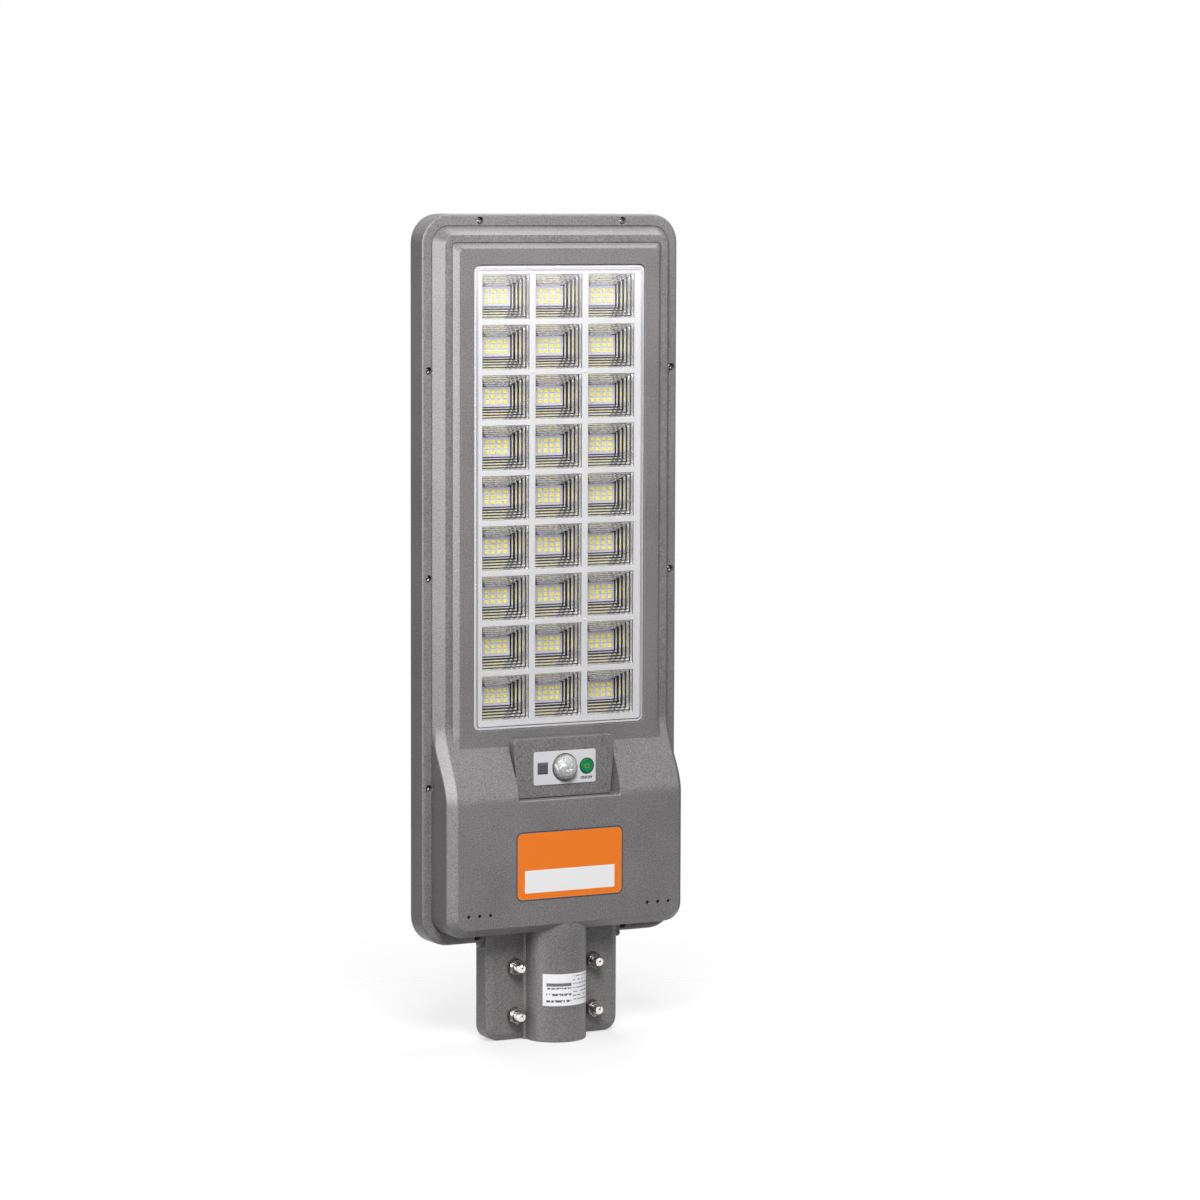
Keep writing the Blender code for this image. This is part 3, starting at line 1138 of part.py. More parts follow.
def make_materials():
    """Make every finish of the lamp."""
    return {
        "grey": make_material("grey_plastic", (0.19, 0.185, 0.18), 0.55),
        "clear": make_material("clear_plastic", (0.92, 0.93, 0.95), 0.08, alpha=0.35),
        "white": make_material("white_plastic", (0.85, 0.85, 0.86), 0.45),
        "chrome": make_material("plated_plastic", (0.80, 0.81, 0.84), 0.12, metallic=1.0),
        "glass": make_material("panel_glass", (0.90, 0.93, 0.95), 0.05, alpha=0.35),
        "cell": make_material("solar_cell", (0.012, 0.014, 0.022), 0.25),
        "rubber": make_material("seal_rubber", (0.03, 0.03, 0.03), 0.80),
        "black": make_material("black_plastic", (0.02, 0.02, 0.02), 0.45),
        "green": make_material("green_rubber", (0.05, 0.50, 0.22), 0.50),
        "board": make_material("circuit_board", (0.03, 0.16, 0.07), 0.50),
        "blue": make_material("battery_sleeve", (0.03, 0.10, 0.35), 0.40),
        "red": make_material("lead_insulation", (0.45, 0.03, 0.03), 0.50),
        "steel": make_material("stainless_steel", (0.62, 0.62, 0.63), 0.25, metallic=1.0),
    }


def main():
    """Build the lamp."""
    clear_scene()
    materials = make_materials()
    make_front_housing(materials["grey"])
    make_rear_frame(materials["grey"])
    make_seal_and_screws(materials)
    make_light_unit(materials)
    make_panel(materials)
    make_sensor_unit(materials)
    make_power_unit(materials)
    make_clamp(materials)


if __name__ == "__main__":
    main()
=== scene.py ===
"""Looks of a solar street lamp head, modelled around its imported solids.

Lengths are metres in the frame of the solids: the origin lies on the pole's axis at the neck's open lower
end, +Z runs up the lamp, the LED side faces -Y and the solar panel faces +Y.
"""

import json
import logging
import math
from collections.abc import Sequence
from dataclasses import dataclass
from enum import Enum
from functools import cache

import bmesh
import bpy
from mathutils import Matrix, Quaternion, Vector

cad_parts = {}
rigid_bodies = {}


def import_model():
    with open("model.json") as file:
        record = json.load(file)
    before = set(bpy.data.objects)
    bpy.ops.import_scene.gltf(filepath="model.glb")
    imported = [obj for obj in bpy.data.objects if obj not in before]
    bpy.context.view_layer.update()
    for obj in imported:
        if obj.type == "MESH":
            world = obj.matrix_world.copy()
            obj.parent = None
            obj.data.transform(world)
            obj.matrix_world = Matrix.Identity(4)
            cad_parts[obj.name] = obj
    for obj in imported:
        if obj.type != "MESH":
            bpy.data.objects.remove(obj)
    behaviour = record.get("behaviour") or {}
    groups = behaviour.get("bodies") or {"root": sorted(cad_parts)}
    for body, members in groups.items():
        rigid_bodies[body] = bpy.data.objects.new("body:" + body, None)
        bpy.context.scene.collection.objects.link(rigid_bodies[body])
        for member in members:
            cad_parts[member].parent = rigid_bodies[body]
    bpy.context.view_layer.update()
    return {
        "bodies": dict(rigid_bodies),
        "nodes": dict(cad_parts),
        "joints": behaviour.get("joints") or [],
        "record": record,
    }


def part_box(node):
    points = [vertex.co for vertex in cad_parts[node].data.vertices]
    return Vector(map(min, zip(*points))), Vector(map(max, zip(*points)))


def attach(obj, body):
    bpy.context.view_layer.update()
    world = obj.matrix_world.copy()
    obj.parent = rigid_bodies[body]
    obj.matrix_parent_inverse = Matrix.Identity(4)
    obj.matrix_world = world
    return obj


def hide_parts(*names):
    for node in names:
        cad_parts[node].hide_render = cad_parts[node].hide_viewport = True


log = logging.getLogger("street_lamp")
Color = tuple[float, float, float]
Place = tuple[float, float, float]
Flat = tuple[float, float]
Ring = list[Vector]
Item = bpy.types.Object
Material = bpy.types.Material
Mesh = bmesh.types.BMesh
Socket = bpy.types.NodeSocket

SMOOTH_ANGLE = math.radians(32)
SPARE = 0.002  # how far a cutter reaches past the face that it opens
SEAT_GAP = 0.0003  # between a piece and what it rests on
ORIGIN: Flat = (0.0, 0.0)
SCREWS = range(1, 11)
BOLTS = range(1, 5)
NAME_PLATE_HALF: Flat = (0.0502, 0.0288)
NAME_PLATE_Z = 0.1513
NAME_PLATE_CORNER = 0.0055
CUP_PITCH: Flat = (0.0496, 0.0416)
CUP_MOUTH: Flat = (0.0437, 0.0368)
LENS_CORNER = 0.005
LEAST_LENS_CORNER = 0.0016
BORE_RADIUS = 0.0241
BOLT_HOLE = 0.0044


class Body(Enum):
    """Bodies of the frame that pieces ride on."""

    LAMP = "lamp"
    CLAMP = "clamp"
    BUTTON = "button"
    BOLT_1 = "bolt_1"
    BOLT_2 = "bolt_2"
    BOLT_3 = "bolt_3"
    BOLT_4 = "bolt_4"


class Slot(Enum):
    """Slots of the frame that finishes fill."""

    HOUSING = "housing_grey"
    SADDLE = "saddle_grey"
    CLEAR = "clear_plastic"
    WHITE = "white_plastic"
    BLACK = "black_plastic"
    PLATED = "plated_plastic"
    STEEL = "stainless_steel"
    BOARD = "led_board"
    RUBBER = "green_rubber"


# Node trees


class NodeTree:
    """A node tree with one way to add any node."""

    def __init__(self, tree: bpy.types.NodeTree) -> None:
        """Wrap a tree that nodes are to be added to."""
        self.tree = tree

    def feed(self, socket: Socket, value: object) -> None:
        """Link or set one input.

        Args:
            socket: The input.
            value: A field or a socket to link, or a plain value.
        """
        source = value.socket if isinstance(value, Field) else value
        if isinstance(source, bpy.types.NodeSocket):
            self.tree.links.new(source, socket)
        else:
            socket.default_value = source

    def node(self, kind: str, settings: dict | None = None, inputs: dict | None = None) -> bpy.types.Node:
        """Add one node.

        Args:
            kind: Blender's name of the node's type.
            settings: The node's properties, set before its sockets.
            inputs: Values, sockets or fields for its inputs, by name or number.

        Returns:
            The new node.
        """
        made = self.tree.nodes.new(kind)
        for name, value in (settings or {}).items():
            setattr(made, name, value)
        for name, value in (inputs or {}).items():
            self.feed(made.inputs[name], value)
        return made

    def field(self, kind: str, settings: dict, inputs: dict) -> "Field":
        """Add one node and give its first output."""
        return Field(self, self.node(kind, settings, inputs).outputs[0])


class Field:
    """A value socket that takes part in Python arithmetic."""

    def __init__(self, tree: NodeTree, socket: Socket) -> None:
        """Wrap a socket of a tree."""
        self.tree = tree
        self.socket = socket

    def _math(self, operation: str, *values: "Field | float") -> "Field":
        """Add one Math node."""
        return self.tree.field("ShaderNodeMath", {"operation": operation}, dict(enumerate(values)))

    def __add__(self, other: "Field | float") -> "Field":
        """Add."""
        return self._math("ADD", self, other)

    __radd__ = __add__

    def __sub__(self, other: "Field | float") -> "Field":
        """Subtract."""
        return self._math("SUBTRACT", self, other)

    def __rsub__(self, other: float) -> "Field":
        """Subtract from a number."""
        return self._math("SUBTRACT", other, self)

    def __mul__(self, other: "Field | float") -> "Field":
        """Multiply."""
        return self._math("MULTIPLY", self, other)

    def __truediv__(self, other: "Field | float") -> "Field":
        """Divide."""
        return self._math("DIVIDE", self, other)

    def __abs__(self) -> "Field":
        """Drop the sign."""
        return self._math("ABSOLUTE", self)

    def __lt__(self, other: "Field | float") -> "Field":
        """Give 1 where this is less."""
        return self._math("LESS_THAN", self, other)

    def __gt__(self, other: "Field | float") -> "Field":
        """Give 1 where this is more."""
        return self._math("GREATER_THAN", self, other)

    def most(self, other: "Field | float") -> "Field":
        """Take the larger."""
        return self._math("MAXIMUM", self, other)

    def root(self) -> "Field":
        """Take the square root."""
        return self._math("SQRT", self)

    def off_line(self, pitch: float) -> "Field":
        """Give the distance to the nearest of evenly spaced lines, one of them at zero."""
        return self._math("PINGPONG", self, pitch / 2)

    def between(self, low: float, high: float) -> "Field":
        """Give 1 from low to high and 0 elsewhere."""
        return abs(self - (low + high) / 2) < (high - low) / 2

    def swing(self, amount: float) -> "Field":
        """Give a noise's swing about its mean of one half, times an amount."""
        return (self - 0.5) * amount


class Shader(NodeTree):
    """The node tree of one finish, around its Principled shader."""

    def __init__(self, material: Material) -> None:
        """Open a material's tree.

        Args:
            material: The material.
        """
        material.use_nodes = True
        super().__init__(material.node_tree)
        self.surface = self.tree.nodes["Principled BSDF"]
        self.place = self.node("ShaderNodeTexCoord").outputs["Object"]

    def axes(self) -> tuple[Field, Field, Field]:
        """Give the x, y and z of the shaded point as fields."""
        split = self.node("ShaderNodeSeparateXYZ", inputs={0: self.place})
        return tuple(Field(self, socket) for socket in split.outputs)

    def noise(self, grain: float, detail: float = 2.0, stretch: Color = (1.0, 1.0, 1.0)) -> Field:
        """Add a noise.

        Args:
            grain: Size of its grains.
            detail: Number of finer layers.
            stretch: How many times finer it is along each axis.

        Returns:
            The noise, about 0.5 on average.
        """
        scaled = self.node("ShaderNodeMapping", inputs={"Vector": self.place, "Scale": stretch})
        inputs = {"Vector": scaled.outputs[0], "Scale": 1.0 / grain, "Detail": detail}
        return self.field("ShaderNodeTexNoise", {}, inputs)

    def mix(self, share: Field, first: "Color | Socket", second: "Color | Socket") -> Socket:
        """Blend two colours.

        Args:
            share: 0 gives the first colour and 1 the second.
            first: A colour or a colour socket.
            second: A colour or a colour socket.

        Returns:
            The blended colour's socket.
        """
        colors = [(*color, 1.0) if isinstance(color, tuple) else color for color in (first, second)]
        made = self.node("ShaderNodeMix", {"data_type": "RGBA"}, {0: share, 6: colors[0], 7: colors[1]})
        return made.outputs[2]

    def set(self, **values: object) -> None:
        """Set or link the shader's sockets, named with underscores for spaces."""
        for name, value in values.items():
            self.feed(self.surface.inputs[name.replace("_", " ")], value)

    def bump(self, height: Field, depth: float) -> None:
        """Emboss the surface by a height field of the given real depth."""
        inputs = {"Height": height, "Distance": depth, "Strength": 1.0}
        self.set(Normal=self.node("ShaderNodeBump", inputs=inputs).outputs[0])


def box_distance(across: Field, up: Field, half: Flat, corner: float) -> Field:
    """Give the signed distance to a rounded rectangle's edge, from that to its middle; negative inside."""
    out_x, out_y = [(abs(away) - (reach - corner)).most(0.0) for away, reach in zip((across, up), half)]
    return (out_x * out_x + out_y * out_y).root() - corner


# Finishes


@dataclass(frozen=True)
class Finish:
    """A named finish of one colour and roughness, which its kinds dress with detail."""

    name: str
    color: Color
    roughness: float

    def make(self) -> Material:
        """Make the material.

        Returns:
            The material with its nodes.
        """
        material = bpy.data.materials.new(self.name)
        self.dress(Shader(material))
        material.diffuse_color = (*self.color, 1.0)
        return material

    def dress(self, shader: Shader) -> None:
        """Add the finish's nodes."""
        raise NotImplementedError

    def shades(self, spread: float) -> tuple[Color, Color]:
        """Give a darker and a lighter shade of the finish's colour."""
        dark = tuple(part * (1 - spread) for part in self.color)
        return dark, tuple(min(1.0, part * (1 + spread)) for part in self.color)


@dataclass(frozen=True)
class MouldedPlastic(Finish):
    """Plastic or paint with a fine spark-eroded or powder texture."""

    grain: float = 0.0011
    clouds: float = 0.06
    weights: Color = (1.3, 0.9, 0.4)  # of the speckle, the fine grain and the clouds
    spread: float = 0.65
    uneven: float = 0.2
    depth: float = 0.00006

    def dress(self, shader: Shader) -> None:
        """Add speckle, slow tone and a fine embossed texture.

        Args:
            shader: The finish's nodes.
        """
        speckle, fine = shader.noise(self.grain, 1.0), shader.noise(self.grain / 3)
        slow = shader.noise(self.clouds)
        parts = [part.swing(weight) for part, weight in zip((speckle, fine, slow), self.weights)]
        shade = parts[0] + parts[1] + parts[2] + 0.5
        shader.set(Base_Color=shader.mix(shade, *self.shades(self.spread)),
                   Roughness=self.roughness + speckle.swing(self.uneven))
        shader.bump(fine, self.depth)


@dataclass(frozen=True)
class SmoothPlastic(Finish):
    """Smooth plastic, rubber or varnish with faint flow marks."""

    spread: float = 0.05
    gloss: float = 0.5
    flow: float = 0.012
    grain: float = 0.0012
    uneven: float = 0.08
    depth: float = 0.00001

    def dress(self, shader: Shader) -> None:
        """Add faint tone and a slightly uneven gloss.

        Args:
            shader: The finish's nodes.
        """
        slow, fine = shader.noise(self.flow), shader.noise(self.grain)
        shader.set(Base_Color=shader.mix(slow, *self.shades(self.spread)), Specular_IOR_Level=self.gloss,
                   Roughness=self.roughness + fine.swing(self.uneven))
        shader.bump(fine, self.depth)


@dataclass(frozen=True)
class BrightMetal(Finish):
    """Plated or stainless metal with fine drawing lines."""

    lines: Color = (1.0, 1.0, 1.0)
    grain: float = 0.0015
    spread: float = 0.08
    uneven: float = 0.12
    wave: float = 0.00002

    def dress(self, shader: Shader) -> None:
        """Add lines in the gloss and a slight waviness.

        Args:
            shader: The finish's nodes.
        """
        lined = shader.noise(self.grain, 3.0, self.lines)
        shader.set(Base_Color=shader.mix(lined, *self.shades(self.spread)), Metallic=1.0,
                   Roughness=self.roughness + lined.swing(self.uneven))
        shader.bump(lined, self.wave)


@dataclass(frozen=True)
class SteppedPlating(Finish):
    """Plating over rows of stepped cups, with dark lines painted along the steps as their shade and
    reflection, widest at the floors and fainter on the upper walls, and painted shade at each mouth.
    """

    middle: float = 0.4573
    pitch: Flat = CUP_PITCH
    mouth: Flat = CUP_MOUTH
    front_y: float = -0.0049
    step: float = 0.0036
    # edge is the depth of the dark band painted at each cup's mouth as the shade of the gap at the grid
    edge: float = 0.0010
    mouth_shade_tones: Flat = (0.35, 0.90)  # of the painted shade at the mouth, over and beside the cup
    mirror: float = 0.78
    # line is the colour of the dark lines painted along the steps as shade and reflection
    line: Color = (0.012, 0.011, 0.010)
    shade_line_half: float = 0.0002
    shade_line_growth: float = 0.054  # of half a line's width, for each metre of depth
    roof_shade_fade: float = 0.7
    shade_line_dulling: Flat = (0.4, 0.3)  # of the mirror and the gloss
    wave_size: float = 0.004
    wave_depth: float = 0.00005

    def dress(self, shader: Shader) -> None:
        """Add the painted shade lines along the steps, the painted shade at the mouths and a slight waviness.

        Args:
            shader: The finish's nodes.
        """
        x, y, z = shader.axes()
        deep, up = y - self.front_y, z - self.middle
        side = x.off_line(self.pitch[0]) / self.mouth[0] > up.off_line(self.pitch[1]) / self.mouth[1]
        # roof marks each cup's upper wall, where the painted shade lines fade, so that wall is painted
        # lighter
        roof = (up - self.pitch[1] / 4).off_line(self.pitch[1]) < self.pitch[1] / 4
        wave = shader.noise(self.wave_size)
        reach = deep * self.shade_line_growth + wave.swing(self.shade_line_half) + self.shade_line_half
        # painted shade and reflection lines in the corners of the steps, widening with depth
        lines = (deep.off_line(self.step) < reach) * (1.0 - (1.0 - side) * roof * self.roof_shade_fade)
        over, beside = self.mouth_shade_tones
        # painted shade of the gap at each mouth, darker beside the cup than over it
        lines = lines.most((deep < self.edge) * (side * (beside - over) + over))
        shader.set(Base_Color=shader.mix(lines, self.color, self.line),
                   Metallic=self.mirror - lines * self.shade_line_dulling[0],
                   Roughness=self.roughness + lines * self.shade_line_dulling[1] + wave.swing(0.1))
        shader.bump(wave, self.wave_depth)


@dataclass(frozen=True)
class ClearPlastic(Finish):
    """Clear plastic or glass: see-through, with more gloss towards its edges."""

    body: float = 0.005
    gloss: float = 0.6
    haze: float = 0.02
    haze_size: float = 0.02
    refraction: float = 1.45

    def glaze(self, shader: Shader, haze: Field) -> Field:
        """Set the gloss.

        Args:
            shader: The finish's nodes.
            haze: Noise of the faint haze.

        Returns:
            How much of what lies behind is covered.
        """
        edge = shader.field("ShaderNodeFresnel", {}, {"IOR": self.refraction})
        shader.set(Metallic=1.0, Roughness=self.roughness + haze.swing(self.haze))
        return edge * self.gloss + haze.swing(self.haze) + self.body

    def dress(self, shader: Shader) -> None:
        """Add the edge gloss and a faint haze.

        Args:
            shader: The finish's nodes.
        """
        haze = shader.noise(self.haze_size)
        cover = self.glaze(shader, haze)
        shader.set(Base_Color=shader.mix(haze, *self.shades(self.haze)), Alpha=cover)


@dataclass(frozen=True)
class BorderedLens(ClearPlastic):
    """Clear window with a thin dark line painted along its edge as the shade of a groove in its rim."""

    half: Flat = (0.0798, 0.1922)
    middle: float = 0.4573
    # the painted shade line along the edge: its span, colour and how much it covers
    line: Flat = (0.0020, 0.0025)  # how far in from the edge it starts and ends
    groove_shade_color: Color = (0.16, 0.16, 0.17)
    groove_shade_cover: float = 0.6

    def dress(self, shader: Shader) -> None:
        """Add the edge gloss, a faint haze and the painted shade line.

        Args:
            shader: The finish's nodes.
        """
        x, _, z = shader.axes()
        inward = 0.0 - box_distance(x, z - self.middle, self.half, LENS_CORNER)
        # painted shade line along the edge, more covering than the clear lens
        line = inward.between(*self.line)
        cover = self.glaze(shader, shader.noise(self.haze_size)) + line * self.groove_shade_cover
        shader.set(Base_Color=shader.mix(line, self.color, self.groove_shade_color), Alpha=cover)


@dataclass(frozen=True)
class LensletDome(Finish):
    """Milky clear plastic moulded as many small lenses."""

    lenslet: float = 0.0040
    bulge: float = 0.0014
    mirror: float = 0.16
    cover: float = 0.8
    # colour and tones of the shade painted along the seams and round the foot
    seam_shade: Color = (0.16, 0.17, 0.16)
    seam_shade_half: float = 0.05  # as a share of a lens
    seam_shade_tone: float = 0.5
    middle: float = 0.2313
    foot: float = 0.0103
    foot_shade_tone: float = 0.8
    clouds: float = 0.005
    spread: float = 0.2

    def dress(self, shader: Shader) -> None:
        """Add the lenses' bulges, shade painted along the seams between them and a dark ring painted round
        the foot.

        Args:
            shader: The finish's nodes.
        """
        x, _, z = shader.axes()
        up = z - self.middle
        bulge = shader.field("ShaderNodeTexVoronoi", {"feature": "DISTANCE_TO_EDGE"},
                             {"Vector": shader.place, "Scale": 1.0 / self.lenslet})
        # painted shade: dark seams between the lenses and a dark ring round the dome's foot, also less clear
        foot = (x * x + up * up).root() > self.foot
        seams = ((bulge < self.seam_shade_half) * self.seam_shade_tone).most(foot * self.foot_shade_tone)
        tone = shader.mix(shader.noise(self.clouds), *self.shades(self.spread))
        shader.set(Base_Color=shader.mix(seams, tone, self.seam_shade), Roughness=self.roughness + seams * 0.1,
                   Metallic=self.mirror, Alpha=self.cover + seams * 0.4)
        shader.bump(bulge, self.bulge)


@dataclass(frozen=True)
class SolarCell(Finish):
    """Monocrystalline cells with busbars across and fingers along them."""

    silver: Color = (0.52, 0.53, 0.55)
    bar_pitch: float = 0.0313
    bar_width: float = 0.0011
    finger_pitch: float = 0.0016
    finger_width: float = 0.00016
    finger_tone: float = 0.35
    clouds: float = 0.03
    spread: float = 0.3

    def dress(self, shader: Shader) -> None:
        """Add the printed silver lines over slightly clouded silicon.

        Args:
            shader: The finish's nodes.
        """
        x, _, z = shader.axes()
        bars = x.off_line(self.bar_pitch) < self.bar_width / 2
        fingers = (z.off_line(self.finger_pitch) < self.finger_width / 2) * self.finger_tone
        silicon = shader.mix(shader.noise(self.clouds), *self.shades(self.spread))
        silver = bars.most(fingers)
        shader.set(Base_Color=shader.mix(silver, silicon, self.silver), Metallic=bars * 0.6,
                   Roughness=self.roughness + silver * 0.25)


@dataclass(frozen=True)
class BoardMask(Finish):
    """Solder mask over wide copper tracks."""

    track: Color = (0.55, 0.54, 0.66)
    pitch: Flat = (0.0058, 0.0044)
    gap: float = 0.0005
    gap_tone: float = 0.6
    clouds: float = 0.004
    relief: float = 0.00003

    def dress(self, shader: Shader) -> None:
        """Add the tracks' slightly raised fields and the gaps between them.

        Args:
            shader: The finish's nodes.
        """
        x, _, z = shader.axes()
        upright = x.off_line(self.pitch[0]) < self.gap / 2
        gaps = upright.most(z.off_line(self.pitch[1] * 3) < self.gap / 2)
        shade = gaps * self.gap_tone + shader.noise(self.clouds) * 0.25
        shader.set(Base_Color=shader.mix(shade, self.color, self.track),
                   Roughness=self.roughness + gaps * 0.15)
        shader.bump(1.0 - gaps, self.relief)


@dataclass(frozen=True)
class NamePlatePrint(Finish):
    """Coloured plate with a thin dark edge and a bare pale field for a name."""

    edge: Color = (0.008, 0.085, 0.14)
    edge_width: float = 0.0009
    field_color: Color = (0.87, 0.87, 0.88)
    field_half: Flat = (0.0424, 0.0095)
    field_corner: float = 0.0006
    field_below: float = 0.013
    gloss: float = 0.2
    spread: float = 0.04

    def dress(self, shader: Shader) -> None:
        """Add the edge, the field and the sheen of a coated print.

        Args:
            shader: The finish's nodes.
        """
        x, _, z = shader.axes()
        up = z - NAME_PLATE_Z
        rim = box_distance(x, up, NAME_PLATE_HALF, NAME_PLATE_CORNER) > -self.edge_width
        bare = box_distance(x, up + self.field_below, self.field_half, self.field_corner) < 0.0
        ink = shader.mix(shader.noise(0.006), *self.shades(self.spread))
        shader.set(Base_Color=shader.mix(rim, shader.mix(bare, ink, self.field_color), self.edge),
                   Roughness=self.roughness + shader.noise(0.0015) * 0.1, Specular_IOR_Level=self.gloss)


@dataclass(frozen=True)
class RatingPrint(Finish):
    """White label with rows of plain bars in place of words."""

    ink: Color = (0.06, 0.06, 0.07)
    low: float = 0.031
    left: Flat = (-0.0182, 0.0018)  # the wide column's edges
    right: Flat = (0.003, 0.0205)  # the fine column's edges
    wide_pitch: float = 0.0055
    wide_start: float = 0.004
    wide_half: float = 0.0009
    wide_rows: Flat = (0.003, 0.0155)
    heading: Flat = (0.0165, 0.0192)
    fine_pitch: float = 0.0033
    fine_half: float = 0.0005
    fine_rows: Flat = (0.0025, 0.0265)
    word: float = 0.0016
    word_stretch: Color = (1.0, 0.0, 0.35)
    word_share: float = 0.45

    def dress(self, shader: Shader) -> None:
        """Add a heading bar and short rows of bars in two columns.

        Args:
            shader: The finish's nodes.
        """
        x, _, z = shader.axes()
        up = z - self.low
        words = shader.noise(self.word, 1.0, self.word_stretch) > self.word_share
        left, right = [(x > low) * (x < high) for low, high in (self.left, self.right)]
        fine = ((up - self.fine_pitch / 2).off_line(self.fine_pitch) < self.fine_half) * right
        wide = ((up - self.wide_start).off_line(self.wide_pitch) < self.wide_half) * left
        rows = (fine * up.between(*self.fine_rows) * 0.75).most(wide * up.between(*self.wide_rows))
        marks = (rows * words).most(up.between(*self.heading) * left * 0.9)
        shader.set(Base_Color=shader.mix(marks, self.color, self.ink),
                   Roughness=self.roughness + shader.noise(0.002) * 0.1)


class Look(Enum):
    """Every finish of the lamp."""

    HOUSING = MouldedPlastic("housing_texture", (0.164, 0.158, 0.157), 0.40)
    SADDLE = MouldedPlastic("saddle_powder_coat", (0.20, 0.20, 0.20), 0.5, grain=0.001)
    WHITE = SmoothPlastic("white_moulding", (0.80, 0.80, 0.82), 0.4, spread=0.02)
    PLATE = SmoothPlastic("sensor_plate_print", (0.66, 0.66, 0.68), 0.45)
    PLATED = SteppedPlating("plated_cup", (0.97, 0.96, 0.95), 0.18)
    STEEL = BrightMetal("bright_stainless", (0.80, 0.77, 0.75), 0.10, lines=(1.0, 0.2, 1.0))
    NUT = BrightMetal("dark_stainless", (0.30, 0.28, 0.28), 0.12)
    CLEAR = BorderedLens("clear_lens", (0.93, 0.93, 0.96), 0.09, gloss=0.36)
    DOME = LensletDome("milky_dome", (0.62, 0.63, 0.62), 0.08)
    GLASS = ClearPlastic("panel_cover_glass", (0.80, 0.82, 0.85), 0.04, body=0.015, gloss=0.7)
    CELL = SolarCell("solar_cell_print", (0.012, 0.013, 0.018), 0.22)
    BOARD = BoardMask("led_board_mask", (0.62, 0.61, 0.73), 0.4)
    CHIP = SmoothPlastic("led_chip_frame", (0.78, 0.78, 0.80), 0.4)
    PHOSPHOR = SmoothPlastic("led_phosphor", (0.97, 0.86, 0.02), 0.5, gloss=0.1)
    DARK_WINDOW = SmoothPlastic("dark_window", (0.085, 0.086, 0.092), 0.3, spread=0.4)
    BLACK = MouldedPlastic("black_moulding", (0.02, 0.02, 0.021), 0.5, grain=0.0007)
    GREEN = SmoothPlastic("green_cap", (0.001, 0.25, 0.075), 0.45, spread=0.15, gloss=0.12)
    AMBER = SmoothPlastic("amber_mark", (0.33, 0.17, 0.03), 0.5)
    RUBBER = SmoothPlastic("seal_foam", (0.03, 0.03, 0.03), 0.8, spread=0.2)
    PRINT = SmoothPlastic("dark_print", (0.012, 0.012, 0.012), 0.6, gloss=0.1)
    CIRCUIT = BoardMask("green_circuit_mask", (0.02, 0.13, 0.06), 0.35, track=(0.05, 0.26, 0.12),
                        pitch=(0.004, 0.003))
    SLEEVE = SmoothPlastic("battery_sleeve", (0.012, 0.03, 0.09), 0.5, spread=0.1)
    LEAD = SmoothPlastic("lead_insulation", (0.40, 0.03, 0.03), 0.5, spread=0.1)
    NAME_PLATE = NamePlatePrint("name_plate_print", (0.88, 0.205, 0.018), 0.42)
    RATING = RatingPrint("rating_print", (0.90, 0.90, 0.92), 0.45)


@cache
def finish(look: Look) -> Material:
    """Give a finish's material, made at its first use."""
    return look.value.make()


# Rings of points


def mirrored(points: Sequence[Flat]) -> list[Flat]:
    """List points and then their mirror images, backwards."""
    return [*points, *[(-across, other) for across, other in reversed(points)]]


def upright(points: Sequence[Flat], y: float) -> Ring:
    """Stand points of x and z up at one depth."""
    return [Vector((x, y, z)) for x, z in points]


def level(points: Sequence[Flat], z: float) -> Ring:
    """Lay points of x and y down at one height."""
    return [Vector((x, y, z)) for x, y in points]


def polar(radius: float, angle: float, y: float, center: Flat = ORIGIN) -> Vector:
    """Give a point by its radius and angle round an axis along Y."""
    return Vector((center[0] + radius * math.cos(angle), y, center[1] + radius * math.sin(angle)))


def round_ring(radius: float, y: float, center: Flat = ORIGIN, sides: int = 32, turn: float = 0.0) -> Ring:
    """List a circle's points round an axis along Y."""
    return [polar(radius, turn + 2 * math.pi * side / sides, y, center) for side in range(sides)]


def box_ring(half: Flat, y: float, center: Flat = ORIGIN) -> Ring:
    """List a rectangle's corners at one depth."""
    signs = ((-1, -1), (1, -1), (1, 1), (-1, 1))
    return [Vector((center[0] + half[0] * x, y, center[1] + half[1] * z)) for x, z in signs]


def section_box(inner: float, outer: float, near: float, far: float) -> list[Flat]:
    """List the corners of a section between two reaches and two depths."""
    return [(inner, near), (outer, near), (outer, far), (inner, far)]


def quarter_turn(steps: int) -> list[float]:
    """List the angles of a quarter turn."""
    return [math.radians(90 * step / steps) for step in range(steps + 1)]


def corner_points(side: float, edge: float, radius: float, lift: int, steps: int = 8) -> list[Flat]:
    """List a rounded right-hand corner's x and z, upwards; lift is 1 for an upper one, -1 for a lower."""
    points = [(side - radius * (1 - math.cos(turn)), edge - lift * radius * (1 - math.sin(turn)))
              for turn in quarter_turn(steps)]
    return points[::lift]


def bend(first: Vector, corner: Vector, last: Vector, steps: int) -> list[Vector]:
    """List points of a curve that leaves one leg of a corner and joins the other."""
    shares = [step / steps for step in range(steps + 1)]
    return [first * (1 - t) ** 2 + corner * (2 * t * (1 - t)) + last * t ** 2 for t in shares]


def swept(section: Sequence[Flat], start: float, sweep: float, steps: int, center: Flat,
          lift: float = 0.0) -> list[Ring]:
    """Sweep a section of reach and y round an axis along Y by some degrees, with a lift along the axis."""
    shares = [step / steps for step in range(steps + 1)]
    return [[polar(reach, math.radians(start + sweep * share), y + lift * share, center)
             for reach, y in section] for share in shares]


